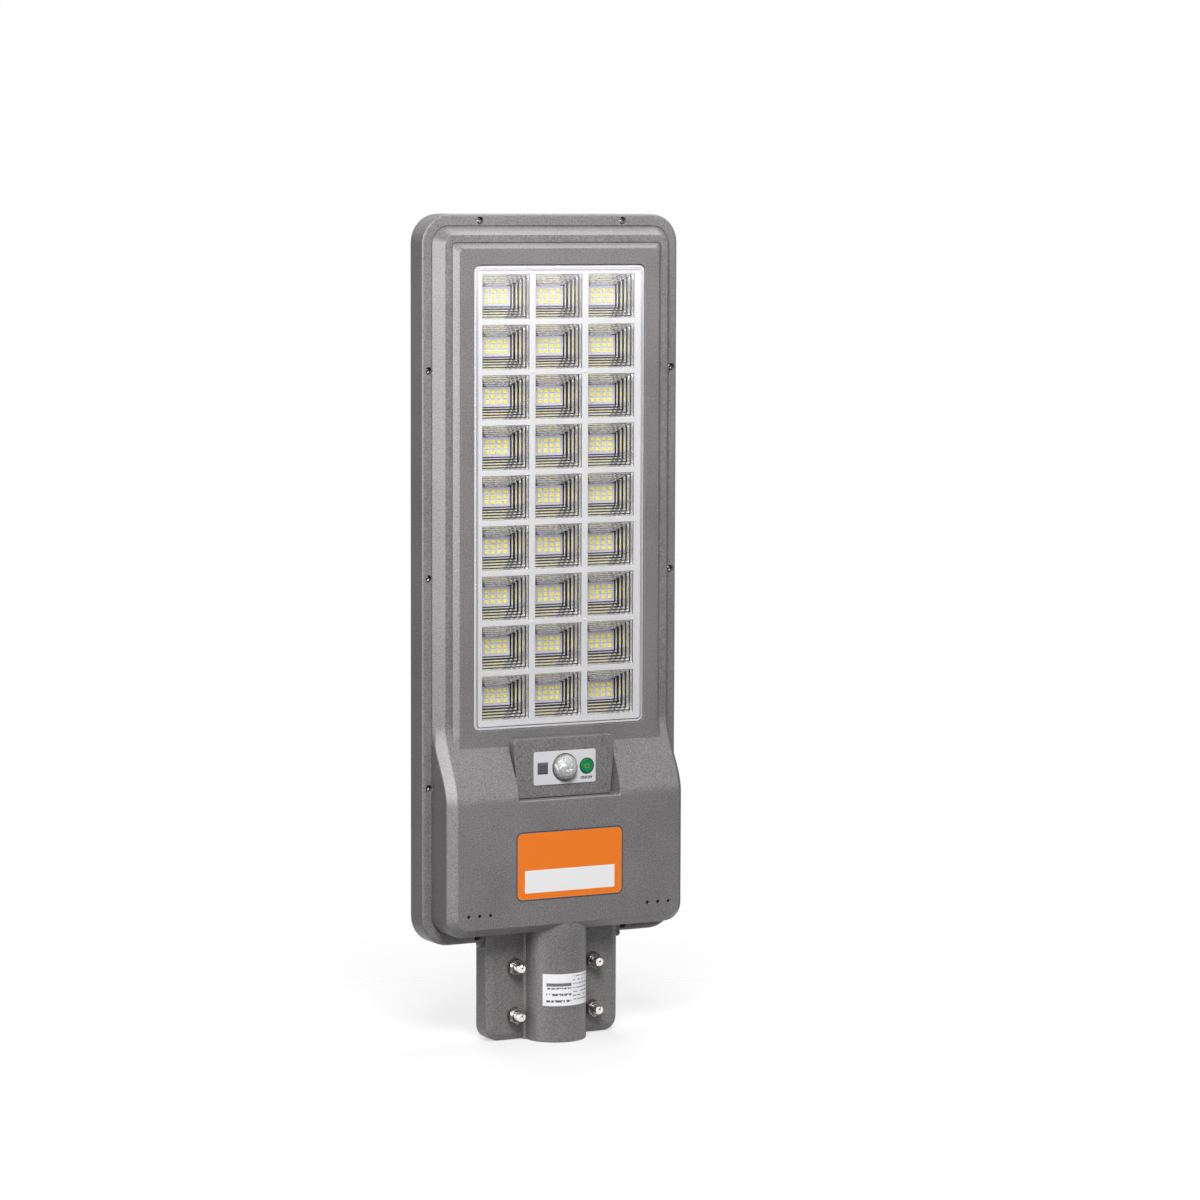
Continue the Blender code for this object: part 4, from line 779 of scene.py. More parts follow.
@dataclass(frozen=True)
class Outline:
    """Rounded upright rectangle whose points keep their numbers when it is moved inwards."""

    half_width: float
    low: float
    high: float
    corner: float
    least: float = 0.003
    steps: int = 8
    stations: tuple[float, ...] = ()

    @classmethod
    def around(cls, node: str, corner: float, least: float, steps: int) -> "Outline":
        """Give the outline of a solid of the frame."""
        low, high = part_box(node)
        return cls(high.x, low.z, high.z, corner, least, steps)

    def points(self, inset: float = 0.0, foot: float = 0.0, head: float = 0.0) -> list[Flat]:
        """List the outline's x and z, moved inwards.

        Args:
            inset: How far inwards; negative moves it outwards.
            foot: How much further in its lower end lies.
            head: How much further in its upper end lies.

        Returns:
            The points, up the right side and down the left.
        """
        radius, side = max(self.corner - inset, self.least), self.half_width - inset
        right = corner_points(side, self.low + inset + foot, radius, -1, self.steps)
        right += [(side, height) for height in sorted(self.stations)]
        right += corner_points(side, self.high - inset - head, radius, 1, self.steps)
        return mirrored(right)

    def ring(self, y: float, inset: float = 0.0) -> Ring:
        """List the outline's points, moved inwards, at one depth."""
        return upright(self.points(inset), y)


def lens_outline(steps: int) -> Outline:
    """Give the lens's outline with so many facets at each corner."""
    return Outline.around("lens_cover", LENS_CORNER, LEAST_LENS_CORNER, steps)


def soften(rings: Sequence[Ring], radii: dict[int, float], steps: int = 3) -> list[Ring]:
    """Round the edges of a loft: each ring that has a radius becomes a short arc of rings.

    Args:
        rings: The loft's rings.
        radii: Distance from the edge at which its rounding starts, by ring number.
        steps: Facets in each rounding.

    Returns:
        The new rings.
    """
    longest = 0.45  # share of a leg that its rounding may take
    soft: list[Ring] = []
    for index, ring in enumerate(rings):
        if index not in radii:
            soft.append(ring)
            continue
        arcs = []
        for start, corner, end in zip(rings[index - 1], ring, rings[(index + 1) % len(rings)]):
            first, last = [corner + way.normalized() * min(radii[index], way.length * longest)
                           for way in (start - corner, end - corner)]
            arcs.append(bend(first, corner, last, steps))
        soft.extend(list(points) for points in zip(*arcs))
    return soft


# Pieces


def skin(mesh: Mesh, rings: Sequence[Ring], closed: bool = False) -> list[list[bmesh.types.BMVert]]:
    """Add rings that have the same point count to a mesh, with faces from each to the next.

    Args:
        mesh: The mesh.
        rings: The rings, in order.
        closed: Join the last ring to the first.

    Returns:
        The rings' new points.
    """
    rows = [[mesh.verts.new(point) for point in ring] for ring in rings]
    for lower, upper in zip(rows, rows[1:] + rows[:1] if closed else rows[1:]):
        for index in range(len(lower)):
            after = (index + 1) % len(lower)
            mesh.faces.new((lower[index], lower[after], upper[after], upper[index]))
    return rows


def loft(rings: Sequence[Ring], capped: bool = True, mesh: Mesh | None = None) -> Mesh:
    """Skin rings that have the same point count.

    Args:
        rings: The rings, in order.
        capped: Close the first and last ring; otherwise the last ring joins the first.
        mesh: The mesh that the skin is added to, if it isn't a new one.

    Returns:
        The mesh.
    """
    mesh = bmesh.new() if mesh is None else mesh
    rows = skin(mesh, rings, not capped)
    if capped:
        mesh.faces.new(rows[0])
        mesh.faces.new(rows[-1])
    return mesh


def add_object(name: str, data: bpy.types.ID) -> Item:
    """Put a mesh, lamp, camera or text into the scene.

    Args:
        name: The object's name.
        data: What it shows.

    Returns:
        The object.
    """
    item = bpy.data.objects.new(name, data)
    bpy.context.scene.collection.objects.link(item)
    return item


def add_piece(name: str, mesh: Mesh, material: Material | None = None, smooth: float = SMOOTH_ANGLE) -> Item:
    """Turn a bmesh into an object with merged points and outward faces.

    Args:
        name: The object's name.
        mesh: Its shape, which is used up.
        material: Its finish, if it has one yet.
        smooth: Sharpest angle between faces that are shaded as one.

    Returns:
        The object.
    """
    same_place = 1e-7
    bmesh.ops.remove_doubles(mesh, verts=mesh.verts, dist=same_place)
    bmesh.ops.dissolve_degenerate(mesh, edges=mesh.edges, dist=same_place)
    bmesh.ops.recalc_face_normals(mesh, faces=mesh.faces)
    data = bpy.data.meshes.new(name)
    mesh.to_mesh(data)
    mesh.free()
    if material is not None:
        data.materials.append(material)
    data.shade_smooth()
    data.set_sharp_from_angle(angle=smooth)
    return add_object(name, data)


def lofted(name: str, rings: Sequence[Ring], material: Material | None = None, capped: bool = True) -> Item:
    """Make a piece by skinning rings."""
    return add_piece(name, loft(rings, capped), material)


def turned(name: str, profile: Sequence[Flat], center: Flat = ORIGIN, sides: int = 32,
           material: Material | None = None, capped: bool = True) -> Item:
    """Make a piece by turning a profile of radius and y about an axis along Y."""
    return lofted(name, [round_ring(radius, y, center, sides) for radius, y in profile], material, capped)


def bake_modifiers(item: Item) -> None:
    """Replace an object's mesh with what its modifiers make of it.

    Args:
        item: The object.
    """
    graph = bpy.context.evaluated_depsgraph_get()
    made = bpy.data.meshes.new_from_object(item.evaluated_get(graph), preserve_all_data_layers=True,
                                           depsgraph=graph)
    item.modifiers.clear()
    item.data = made
    made.name = item.name


def carve(target: Item, others: Sequence[Item], operation: str = "DIFFERENCE") -> Item:
    """Join others to a solid or cut them from it in one step.

    Args:
        target: The solid that is changed.
        others: Solids that are used up.
        operation: DIFFERENCE, UNION or INTERSECT.

    Returns:
        The changed solid.
    """
    group = bpy.data.collections.new("operands")
    for other in others:
        group.objects.link(other)
    modifier = target.modifiers.new("carve", "BOOLEAN")
    modifier.operation, modifier.solver = operation, "EXACT"
    modifier.operand_type, modifier.collection = "COLLECTION", group
    bake_modifiers(target)
    for other in others:
        bpy.data.objects.remove(other, do_unlink=True)
    bpy.data.collections.remove(group)
    return target


def polish(item: Item, material: Material) -> None:
    """Finish a carved piece: one material and even shading of flat faces.

    Args:
        item: The piece.
        material: Its finish.
    """
    item.data.materials.clear()
    item.data.materials.append(material)
    item.data.polygons.foreach_set("material_index", [0] * len(item.data.polygons))
    item.data.shade_smooth()
    item.data.set_sharp_from_angle(angle=SMOOTH_ANGLE)
    item.modifiers.new("shading", "WEIGHTED_NORMAL").keep_sharp = True
    bake_modifiers(item)


def register(piece: Item, slot: Slot, *nodes: str, body: Body = Body.LAMP) -> None:
    """Attach a piece to the body that it rides on, hide the solids that it stands for and log both.

    Args:
        piece: The piece.
        slot: Its finish's slot; not used.
        nodes: Names of the solids that it stands for.
        body: The body that it rides on.
    """
    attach(piece, body.value)
    if nodes:
        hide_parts(*nodes)
    log.info("%s rides on %s and replaces %s", piece.name, body.value, ", ".join(nodes) or "nothing")


class CopyTree(NodeTree):
    """A Geometry Nodes tree that puts a shape on points and keeps the copies as one mesh."""

    COMMON = {"Geometry": "NodeSocketGeometry", "Shape": "NodeSocketObject", "Finish": "NodeSocketMaterial"}

    def __init__(self, name: str, sizes: dict[str, str]) -> None:
        """Start a tree and name its inputs.

        Args:
            name: The tree's name.
            sizes: Kinds of the inputs that it has beside the common ones, by name.
        """
        super().__init__(bpy.data.node_groups.new(name, "GeometryNodeTree"))
        sides = self.tree.interface
        sides.new_socket("Geometry", in_out="OUTPUT", socket_type="NodeSocketGeometry")
        self.labels = {label: sides.new_socket(label, in_out="INPUT", socket_type=kind).identifier
                       for label, kind in (self.COMMON | sizes).items()}
        self.entry = self.node("NodeGroupInput").outputs

    def close(self, points: Socket) -> None:
        """Add the nodes that put the shape on the points and end the tree.

        Args:
            points: The points.
        """
        shape = self.node("GeometryNodeObjectInfo", inputs={"Object": self.entry["Shape"]})
        copies = self.node("GeometryNodeInstanceOnPoints", inputs={
            "Points": points, "Instance": shape.outputs["Geometry"]})
        solid = self.node("GeometryNodeRealizeInstances", inputs={"Geometry": copies.outputs[0]})
        dressed = self.node("GeometryNodeSetMaterial", inputs={
            "Geometry": solid.outputs[0], "Material": self.entry["Finish"]})
        self.node("NodeGroupOutput", inputs={"Geometry": dressed.outputs[0]})

    def run(self, name: str, points: Mesh, values: dict[str, object]) -> Item:
        """Run the tree on points and drop the shape.

        Args:
            name: Name of the piece that it makes.
            points: The points, which are used up.
            values: The inputs' values by name.

        Returns:
            All copies as one piece.
        """
        data = bpy.data.meshes.new(name)
        points.to_mesh(data)
        points.free()
        host = add_object(name, data)
        modifier = host.modifiers.new("copies", "NODES")
        modifier.node_group = self.tree
        for label, value in values.items():
            modifier[self.labels[label]] = value
        host.update_tag()
        bpy.context.view_layer.update()
        bake_modifiers(host)
        bpy.data.objects.remove(values["Shape"], do_unlink=True)
        return host


class Repeater:
    """Copies a shape to many places through Geometry Nodes."""

    def __init__(self) -> None:
        """Build the two trees: copies at given points, and copies over an upright grid."""
        self.places = CopyTree("copies_at_places", {})
        self.places.close(self.places.entry["Geometry"])
        self.grid = CopyTree("copies_over_grid", {
            "Columns": "NodeSocketInt", "Rows": "NodeSocketInt", "Pitch X": "NodeSocketFloat",
            "Pitch Z": "NodeSocketFloat", "Middle": "NodeSocketVector"})
        self.grid.close(self._grid_points())

    def _grid_points(self) -> Socket:
        """Add the nodes that lay out the grid's points.

        Returns:
            The points.
        """
        tree, entry = self.grid, self.grid.entry
        width, height = [(Field(tree, entry[count]) - 1.0) * Field(tree, entry[pitch])
                         for count, pitch in (("Columns", "Pitch X"), ("Rows", "Pitch Z"))]
        grid = tree.node("GeometryNodeMeshGrid", inputs={
            "Size X": width, "Size Y": height, "Vertices X": entry["Columns"], "Vertices Y": entry["Rows"]})
        standing = tree.node("GeometryNodeTransform", inputs={
            "Geometry": grid.outputs["Mesh"], "Rotation": (math.pi / 2, 0.0, 0.0),
            "Translation": entry["Middle"]})
        return standing.outputs[0]

    def at_places(self, name: str, shape: Item, places: Sequence[Vector], material: Material) -> Item:
        """Copy a shape to given places.

        Args:
            name: The piece's name.
            shape: One copy, modelled about the origin; it is used up.
            places: Where the copies go.
            material: Their finish.

        Returns:
            All copies as one piece.
        """
        points = bmesh.new()
        for place in places:
            points.verts.new(place)
        return self.places.run(name, points, {"Shape": shape, "Finish": material})

    def over_grid(self, name: str, shape: Item, counts: tuple[int, int], pitch: Flat, middle: Place,
                  material: Material) -> Item:
        """Copy a shape over an upright grid.

        Args:
            name: The piece's name.
            shape: One copy, modelled about the origin; it is used up.
            counts: Columns and rows.
            pitch: Spacing along X and Z.
            middle: The grid's middle.
            material: Their finish.

        Returns:
            All copies as one piece.
        """
        values = {"Shape": shape, "Finish": material, "Columns": counts[0], "Rows": counts[1],
                  "Pitch X": pitch[0], "Pitch Z": pitch[1], "Middle": middle}
        return self.grid.run(name, bmesh.new(), values)


# Stage


@dataclass(frozen=True)
class Lamp:
    """One soft rectangular studio lamp."""

    name: str
    place: Place
    aim: Place
    size: Flat
    watts: float
    lights: bool = True  # reaches matt surfaces
    shines: bool = True  # shows in glossy ones
    color: Color = (1.0, 1.0, 1.0)


@dataclass(frozen=True)
class Flag:
    """One dark studio card that shows only in glossy pieces."""

    name: str
    place: Place
    aim: Place
    size: Flat


def facing(place: Place, aim: Place) -> Quaternion:
    """Give the turn that points something at its aim."""
    return (Vector(aim) - Vector(place)).to_track_quat("-Z", "Y")


@dataclass
class Stage:
    """Camera, studio lamps, dark cards, pale floor and white background."""

    camera_place: Place = (-1.7103, -3.2192, 0.7062)
    camera_aim: Place = (0.04645, 0.008, 0.3676)
    camera_roll: float = math.radians(0.196)
    focal_mm: float = 131.3
    sensor_mm: float = 36.0
    ambient: float = 0.145
    floor_radius: float = 1.6
    floor_shares: tuple[float, ...] = (0.02, 0.5, 1.0)
    floor_fade: Flat = (0.02, 0.4)  # shares of the radius between which the floor fades
    floor_clear: float = 0.55  # how clear it is in the middle
    cool: Color = (0.97, 0.95, 1.0)

    def lamps(self) -> list[Lamp]:
        """List the studio lamps."""
        return [
            Lamp("key_softbox", (-0.62, -1.25, 1.5), (0.0, 0.0, 0.5), (0.8, 0.8), 40.0),
            Lamp("left_strip", (-1.95, -0.35, 0.87), (0.0, 0.0, 0.45), (1.0, 1.4), 72.0, lights=False),
            Lamp("front_glow", (0.98, -1.8, 0.92), (0.0, 0.0, 0.6), (0.9, 0.7), 8.0, lights=False,
                 color=self.cool),
            Lamp("top_softbox", (0.55, 0.35, 2.1), (0.0, 0.0, 0.5), (1.0, 1.0), 17.0, color=self.cool),
            Lamp("edge_glow", (0.95, -0.45, 2.0), (0.0, 0.0, 0.3), (0.7, 0.7), 9.0, lights=False),
            Lamp("rear_fill", (0.8, 3.0, 1.4), (0.0, 0.0, 0.4), (1.8, 1.8), 72.0, shines=False),
        ]

    def flags(self) -> list[Flag]:
        """List the dark cards."""
        return [
            Flag("right_flag", (0.85, 1.1, 0.45), (0.0, 0.0, 0.4), (1.5, 1.6)),
            Flag("front_flag", (0.95, -1.75, 0.02), (0.0, 0.0, 0.3), (0.9, 1.0)),
            Flag("left_flag", (-0.75, 1.1, 0.2), (0.0, 0.0, 0.2), (0.5, 1.3)),
        ]

    def build(self) -> None:
        """Make everything that isn't part of the object."""
        self._camera()
        for lamp in self.lamps():
            self._lamp(lamp)
        for flag in self.flags():
            self._flag(flag)
        self._world()
        self._floor()
        bpy.context.scene.view_settings.view_transform = "Standard"

    def _hang(self, data: bpy.types.ID, place: Place, turn: Quaternion) -> Item:
        """Put a camera or a lamp at its place.

        Args:
            data: The camera or lamp.
            place: Where it goes.
            turn: Which way it points.

        Returns:
            Its object.
        """
        item = add_object(data.name, data)
        item.location = place
        item.rotation_mode = "QUATERNION"
        item.rotation_quaternion = turn
        return item

    def _camera(self) -> None:
        """Set the camera up at the photograph's viewing angle."""
        camera = bpy.data.cameras.new("camera")
        camera.lens, camera.sensor_width = self.focal_mm, self.sensor_mm
        roll = Quaternion((0.0, 0.0, 1.0), self.camera_roll)
        turn = facing(self.camera_place, self.camera_aim) @ roll
        bpy.context.scene.camera = self._hang(camera, self.camera_place, turn)

    def _lamp(self, lamp: Lamp) -> None:
        """Hang one soft lamp.

        Args:
            lamp: Its sizes.
        """
        light = bpy.data.lights.new(lamp.name, "AREA")
        light.shape, light.size, light.size_y = "RECTANGLE", lamp.size[0], lamp.size[1]
        light.energy, light.color = lamp.watts, lamp.color
        item = self._hang(light, lamp.place, facing(lamp.place, lamp.aim))
        item.visible_diffuse, item.visible_glossy = lamp.lights, lamp.shines

    def _flag(self, flag: Flag) -> None:
        """Hang one dark card.

        Args:
            flag: Its sizes.
        """
        turn, place = facing(flag.place, flag.aim), Vector(flag.place)
        mesh = bmesh.new()
        corners = box_ring((flag.size[0] / 2, flag.size[1] / 2), 0.0)
        mesh.faces.new([mesh.verts.new(turn @ corner.xzy + place) for corner in corners])
        card = add_piece(flag.name, mesh, Look.RUBBER.value.make())
        card.visible_camera = card.visible_diffuse = card.visible_transmission = card.visible_shadow = False

    def _world(self) -> None:
        """Make the world white where it shows, also in gloss or through glass, and dimmer as a light."""
        world = bpy.data.worlds.new("studio")
        world.use_nodes = True
        tree = NodeTree(world.node_tree)
        path = tree.node("ShaderNodeLightPath").outputs
        straight, gloss, through = [Field(tree, path[f"Is {kind} Ray"]) for kind in (
            "Camera", "Glossy", "Transmission")]
        seen = straight.most(gloss).most(through)
        light = world.node_tree.nodes["Background"].inputs
        tree.feed(light["Strength"], seen * (1.0 - self.ambient) + self.ambient)
        tree.feed(light["Color"], (1.0, 1.0, 1.0, 1.0))
        bpy.context.scene.world = world

    def _floor(self) -> None:
        """Lay a pale floor that fades into the background and keeps the shadow."""
        mesh = loft([round_ring(self.floor_radius * share, 0.0, sides=64) for share in self.floor_shares])
        mesh.faces.ensure_lookup_table()
        bmesh.ops.delete(mesh, geom=[mesh.faces[-1]], context="FACES_ONLY")
        for vert in mesh.verts:
            vert.co = Vector((vert.co.x, vert.co.z, -SEAT_GAP))
        material = bpy.data.materials.new("pale_floor")
        shader = Shader(material)
        x, y, _ = shader.axes()
        away = (x * x + y * y).root() / self.floor_radius
        shader.set(Base_Color=(0.9, 0.9, 0.9, 1.0), Roughness=0.6, Specular_IOR_Level=0.2)
        fade = shader.field("ShaderNodeMapRange", {"interpolation_type": "SMOOTHSTEP"}, {
            "Value": away, "From Min": self.floor_fade[0], "From Max": self.floor_fade[1],
            "To Min": self.floor_clear})
        clear = shader.node("ShaderNodeBsdfTransparent")
        blend = shader.node("ShaderNodeMixShader", inputs={
            0: fade, 1: shader.surface.outputs[0], 2: clear.outputs[0]})
        shader.feed(shader.tree.nodes["Material Output"].inputs[0], blend.outputs[0])
        add_piece("floor", mesh, material)


# Housing


def middle_of(node: str) -> Flat:
    """Give the x and z of a solid's middle."""
    low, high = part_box(node)
    return (low.x + high.x) / 2, (low.z + high.z) / 2


def bolt_places() -> list[Flat]:
    """List the clamp bolts' centres, in the order of their numbers."""
    return [middle_of(f"clamp_nut_{number}") for number in BOLTS]


def slab_ring(y: float, grow: float = 0.0, end_grow: float = 0.0, end_width: float = 0.0445,
              corners: Flat = (0.0016, 0.004)) -> Ring:
    """List the sensor slab's tapered outline with rounded corners.

    Args:
        y: Its depth.
        grow: How far its sides and upper end are moved outwards.
        end_grow: How far its lower end is moved outwards.
        end_width: Half the slab's width at its lower end.
        corners: Radius of the lower and the upper corners.

    Returns:
        The ring.
    """
    low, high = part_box("sensor_slab")
    lower = corner_points(end_width + grow, low.z - end_grow, corners[0], -1)
    return upright(mirrored(lower + corner_points(high.x + grow, high.z + grow, corners[1], 1)), y)


def flared(radius: float, flare: float, floor_y: float, mouth_y: float) -> list[Flat]:
    """Give the profile of a round hole's cutter with a slightly flared mouth."""
    wide = radius + flare
    return [(radius, floor_y), (radius, mouth_y + flare), (wide, mouth_y), (wide, mouth_y - SPARE)]


@dataclass
class Housing:
    """LED-side shell: rim, two sloping steps, raised face, battery hood, sensor pocket and neck."""

    repeater: Repeater
    rim_y: float = 0.008
    corner: float = 0.024
    least_corner: float = 0.004
    wall: float = 0.0026
    end_gap: float = 0.002
    rim_flat: float = 0.0088
    first_inset: float = 0.0156
    second_inset: float = 0.0224
    face_inset: float = 0.0266
    face_lap: float = 0.004
    inner_shares: tuple[float, ...] = (1.25, 0.7, 0.9, 0.6)  # of the wall, added to those insets inside
    step_head: float = 0.0017
    crease: Flat = (0.0011, 0.0007)
    ledge_height: float = 0.0107
    face_height: float = 0.0157
    hood_height: float = 0.0345
    hood_side: float = 0.0262
    lean: float = 0.3  # how far the foot of the lowest side slides in
    lean_side: float = 0.004  # height of side at which it no longer does
    rise_start: float = 0.2693
    rise_end: float = 0.2043
    hood_foot: float = 0.0016
    rise_stations: int = 28
    station_gap: float = 0.0005
    edge_rounds: tuple[tuple[int, float], ...] = ((1, 0.0031), (5, 0.0012), (6, 0.0007), (10, 0.0008))
    lens_gap: float = 0.0005
    lens_flare: float = 0.0004
    lens_sink: float = 0.0049
    seat_width: float = 0.0045
    seat_depth: float = 0.0031
    boss_radius: float = 0.0042
    boss_end: float = 0.0225
    counterbore: float = 0.0032
    counterbore_flare: float = 0.0003
    counterbore_floor: float = 0.0022  # below the screw head's top
    drain_places: tuple[float, ...] = (0.0743, 0.0844, 0.0945)
    drain_z: float = 0.1129
    drain_radius: float = 0.0015
    drain_flare: float = 0.0002
    # gap round the dark discs that paint the drains' shade
    drain_shade_gap: float = 0.00005
    label_sink: float = 0.0004
    neck_chamfer: float = 0.0054
    neck_chamfer_depth: float = 0.0026
    neck_lap: float = 0.002
    neck_round: float = 0.0012
    neck_corner: float = 0.012
    neck_wall: float = 0.003
    neck_half: float = 0.0623
    neck_front: float = 0.0035
    neck_depth: float = 0.0237
    bulge_radius: float = 0.02635
    bulge_fillet: float = 0.0024
    bulge_lip: Flat = (0.0007, 0.975)  # height of its lower edge's rounding, and share left at the end
    bolt_boss: float = 0.008
    bolt_rib: float = 0.002
    nub_radius: float = 0.0028
    pocket_draft: float = math.radians(7)
    pocket_gap: Flat = (0.0010, 0.0005)  # beside the slab and below it
    pocket_lip: Flat = (0.0018, 0.0014)
    pocket_lip_start: float = 0.95
    pocket_room: float = 0.0046
    pocket_drop: float = 0.001
    recess_half: Flat = (0.0017, 0.00045)
    recess_taper: float = 0.6
    recess_depth: float = 0.0012

    def __post_init__(self) -> None:
        """Read the shell's outer sizes off the frame."""
        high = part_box("front_housing")[1]
        self.half_width, self.top, self.back_y = high.x, high.z, high.y
        self.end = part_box("clamp_saddle")[1].z + self.end_gap
        self.neck_top = self.end + self.rim_flat + self.hood_foot + self.wall
        self.hood_y = self.rim_y - self.hood_height
        self.face_y = self.rim_y - self.face_height

    def heights(self, z: float) -> tuple[float, float]:
        """Give the heights over the rim of the hood's upright side and of the ledge or hood.

        Args:
            z: The place up the lamp.

        Returns:
            Both heights.
        """
        t = min(1.0, max(0.0, (self.rise_start - z) / (self.rise_start - self.rise_end)))
        share = t * t * (3 - 2 * t)
        return self.hood_side * share, self.ledge_height + (self.hood_height - self.ledge_height) * share

    def stations(self) -> tuple[float, ...]:
        """List the heights that sample the hood's rise, with the one where it meets the face.

        Returns:
            The heights, upwards.
        """
        span = self.rise_start - self.rise_end
        listed = [self.rise_end + span * step / self.rise_stations for step in range(self.rise_stations + 1)]
        low, high = self.rise_end, self.rise_start
        while high - low > 1e-6:
            middle = (low + high) / 2
            low, high = (middle, high) if self.heights(middle)[1] > self.face_height else (low, middle)
        return tuple(sorted([z for z in listed if abs(z - low) > self.station_gap] + [low]))

    def body(self, name: str, wall: float, back_y: float) -> Item:
        """Make the stepped body with its hood.

        Args:
            name: Its name.
            wall: How far its skin is moved inwards.
            back_y: Depth of its open back.

        Returns:
            The solid.
        """
        outline = Outline(self.half_width, self.end, self.top, self.corner, self.least_corner,
                          stations=self.stations())
        width, depth = self.crease[0], 0.0 if wall else self.crease[1]
        edges = (self.rim_flat, self.first_inset, self.second_inset, self.face_inset)
        rim, first, second, face = [edge + share * wall for edge, share in zip(edges, self.inner_shares)]
        insets = (rim - width, rim - width / 3, rim, first, second - width, second - width / 3, second, face,
                  face + self.face_lap)
        steps = [outline.points(inset, self.hood_foot, self.step_head) for inset in insets]
        sections = []
        for edge, lip, dip, foot, shelf, *inner in zip(outline.points(wall), *steps):
            side, top = self.heights(edge[1])
            crown = max(self.face_height, top)
            slide = self.lean * max(0.0, 1 - side / self.lean_side)
            turn = Vector(foot).lerp(Vector(shelf), slide)
            dent = depth * (crown - top) / (self.face_height - self.ledge_height)
            flat = [edge, edge, lip, dip, foot, turn, shelf, *inner]
            heights = [self.rim_y - back_y + wall, 0.0, 0.0, -depth, 0.0, side + (top - side) * slide,
                       top, top, top - dent, top, crown, crown]
            sections.append([Vector((x, self.rim_y - height + wall, z))
                             for (x, z), height in zip(flat, heights)])
        rings = [list(ring) for ring in zip(*sections)]
        return add_piece(name, self._skin(soften(rings, {} if wall else dict(self.edge_rounds), 4)))

    def _skin(self, rings: Sequence[Ring]) -> Mesh:
        """Skin the body's rings; its front is closed by strips from side to side.

        Args:
            rings: The rings, from the back.

        Returns:
            The skin.
        """
        mesh = bmesh.new()
        rows = skin(mesh, rings)
        mesh.faces.new(rows[0])
        crown = rows[-1]
        for index in range(len(crown) // 2 - 1):
            partner = len(crown) - 1 - index
            mesh.faces.new((crown[index], crown[index + 1], crown[partner - 1], crown[partner]))
        return mesh

    def neck_ring(self, inset: float, y: float) -> Ring:
        """List the neck's outline, open towards the body, moved inwards at one depth."""
        corner = corner_points(self.neck_half - inset, inset, self.neck_corner - inset, -1)
        return upright(mirrored([(self.neck_half - inset, self.neck_top), *reversed(corner)]), y)

    def neck(self) -> list[Item]:
        """Make the neck's chamfered box and the half-round cover over the pole.

        Returns:
            Both solids.
        """
        front = self.neck_front
        rings = [self.neck_ring(inset, y) for inset, y in (
            (self.neck_chamfer + self.neck_lap, front), (self.neck_chamfer, front),
            (0.0, front + self.neck_chamfer_depth), (0.0, self.neck_depth))]
        box = lofted("neck", soften(rings, {1: self.neck_round, 2: self.neck_round}))
        top = self.end + self.first_inset + self.hood_foot + self.wall
        foot, fillet = self.bulge_radius + self.bulge_fillet, self.bulge_fillet
        side = [(foot, front + self.neck_wall / 2)]
        side += [(foot - fillet * math.sin(turn), front - fillet * (1 - math.cos(turn)))
                 for turn in quarter_turn(6)]
        crown = [(self.bulge_radius * math.cos(turn), -self.bulge_radius * math.sin(turn))
                 for turn in quarter_turn(18)]
        outline = mirrored(side + crown)
        lip, share = self.bulge_lip
        rings = [level([(x * share, y * share) for x, y in outline], 0.0), level(outline, lip),
                 level(outline, top)]
        return [box, lofted("pole_cover", rings)]

    def nubs(self) -> list[Item]:
        """Make the small round nubs under the rim, beside the neck.

        Returns:
            The nubs.
        """
        radius = self.nub_radius
        profile = [(radius * share, self.rim_y + y) for share, y in (
            (0.7, 0.0004), (1.0, 0.0012), (1.0, 0.006))]
        center = (self.neck_half + radius - SEAT_GAP, self.end - 0.55 * radius)
        return [turned("nub", profile, (side * center[0], center[1]), 20) for side in (-1, 1)]

    def hollow(self) -> Item:
        """Make the inside as a cutter, which leaves the lens seat, sensor pocket and screw bosses.

        Returns:
            The cutter.
        """
        hollow = self.body("hollow", self.wall, self.back_y + SPARE)
        slab_low, slab_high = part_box("sensor_slab")
        low, high = slab_low.z - self.wall, self.rise_start
        half = (slab_high.x + self.pocket_room + self.wall, (high - low) / 2)
        kept = [lofted("pocket_wall", [
            box_ring(half, y, (0.0, (high + low) / 2 - self.pocket_drop))
            for y in (-self.half_width, self.face_y + SEAT_GAP + self.wall)])]
        lens = lens_outline(8)
        kept.append(lofted("seat", [lens.ring(y, -self.lens_gap - self.wall) for y in (
            self.face_y + self.wall / 2, self.face_y + self.seat_depth + self.lens_sink)]))
        for number in SCREWS:
            kept.append(turned("boss", [(self.boss_radius, y) for y in (
                self.rim_y + self.wall / 2, self.boss_end)], middle_of(f"housing_screw_{number:02d}"), 16))
        return carve(hollow, kept)

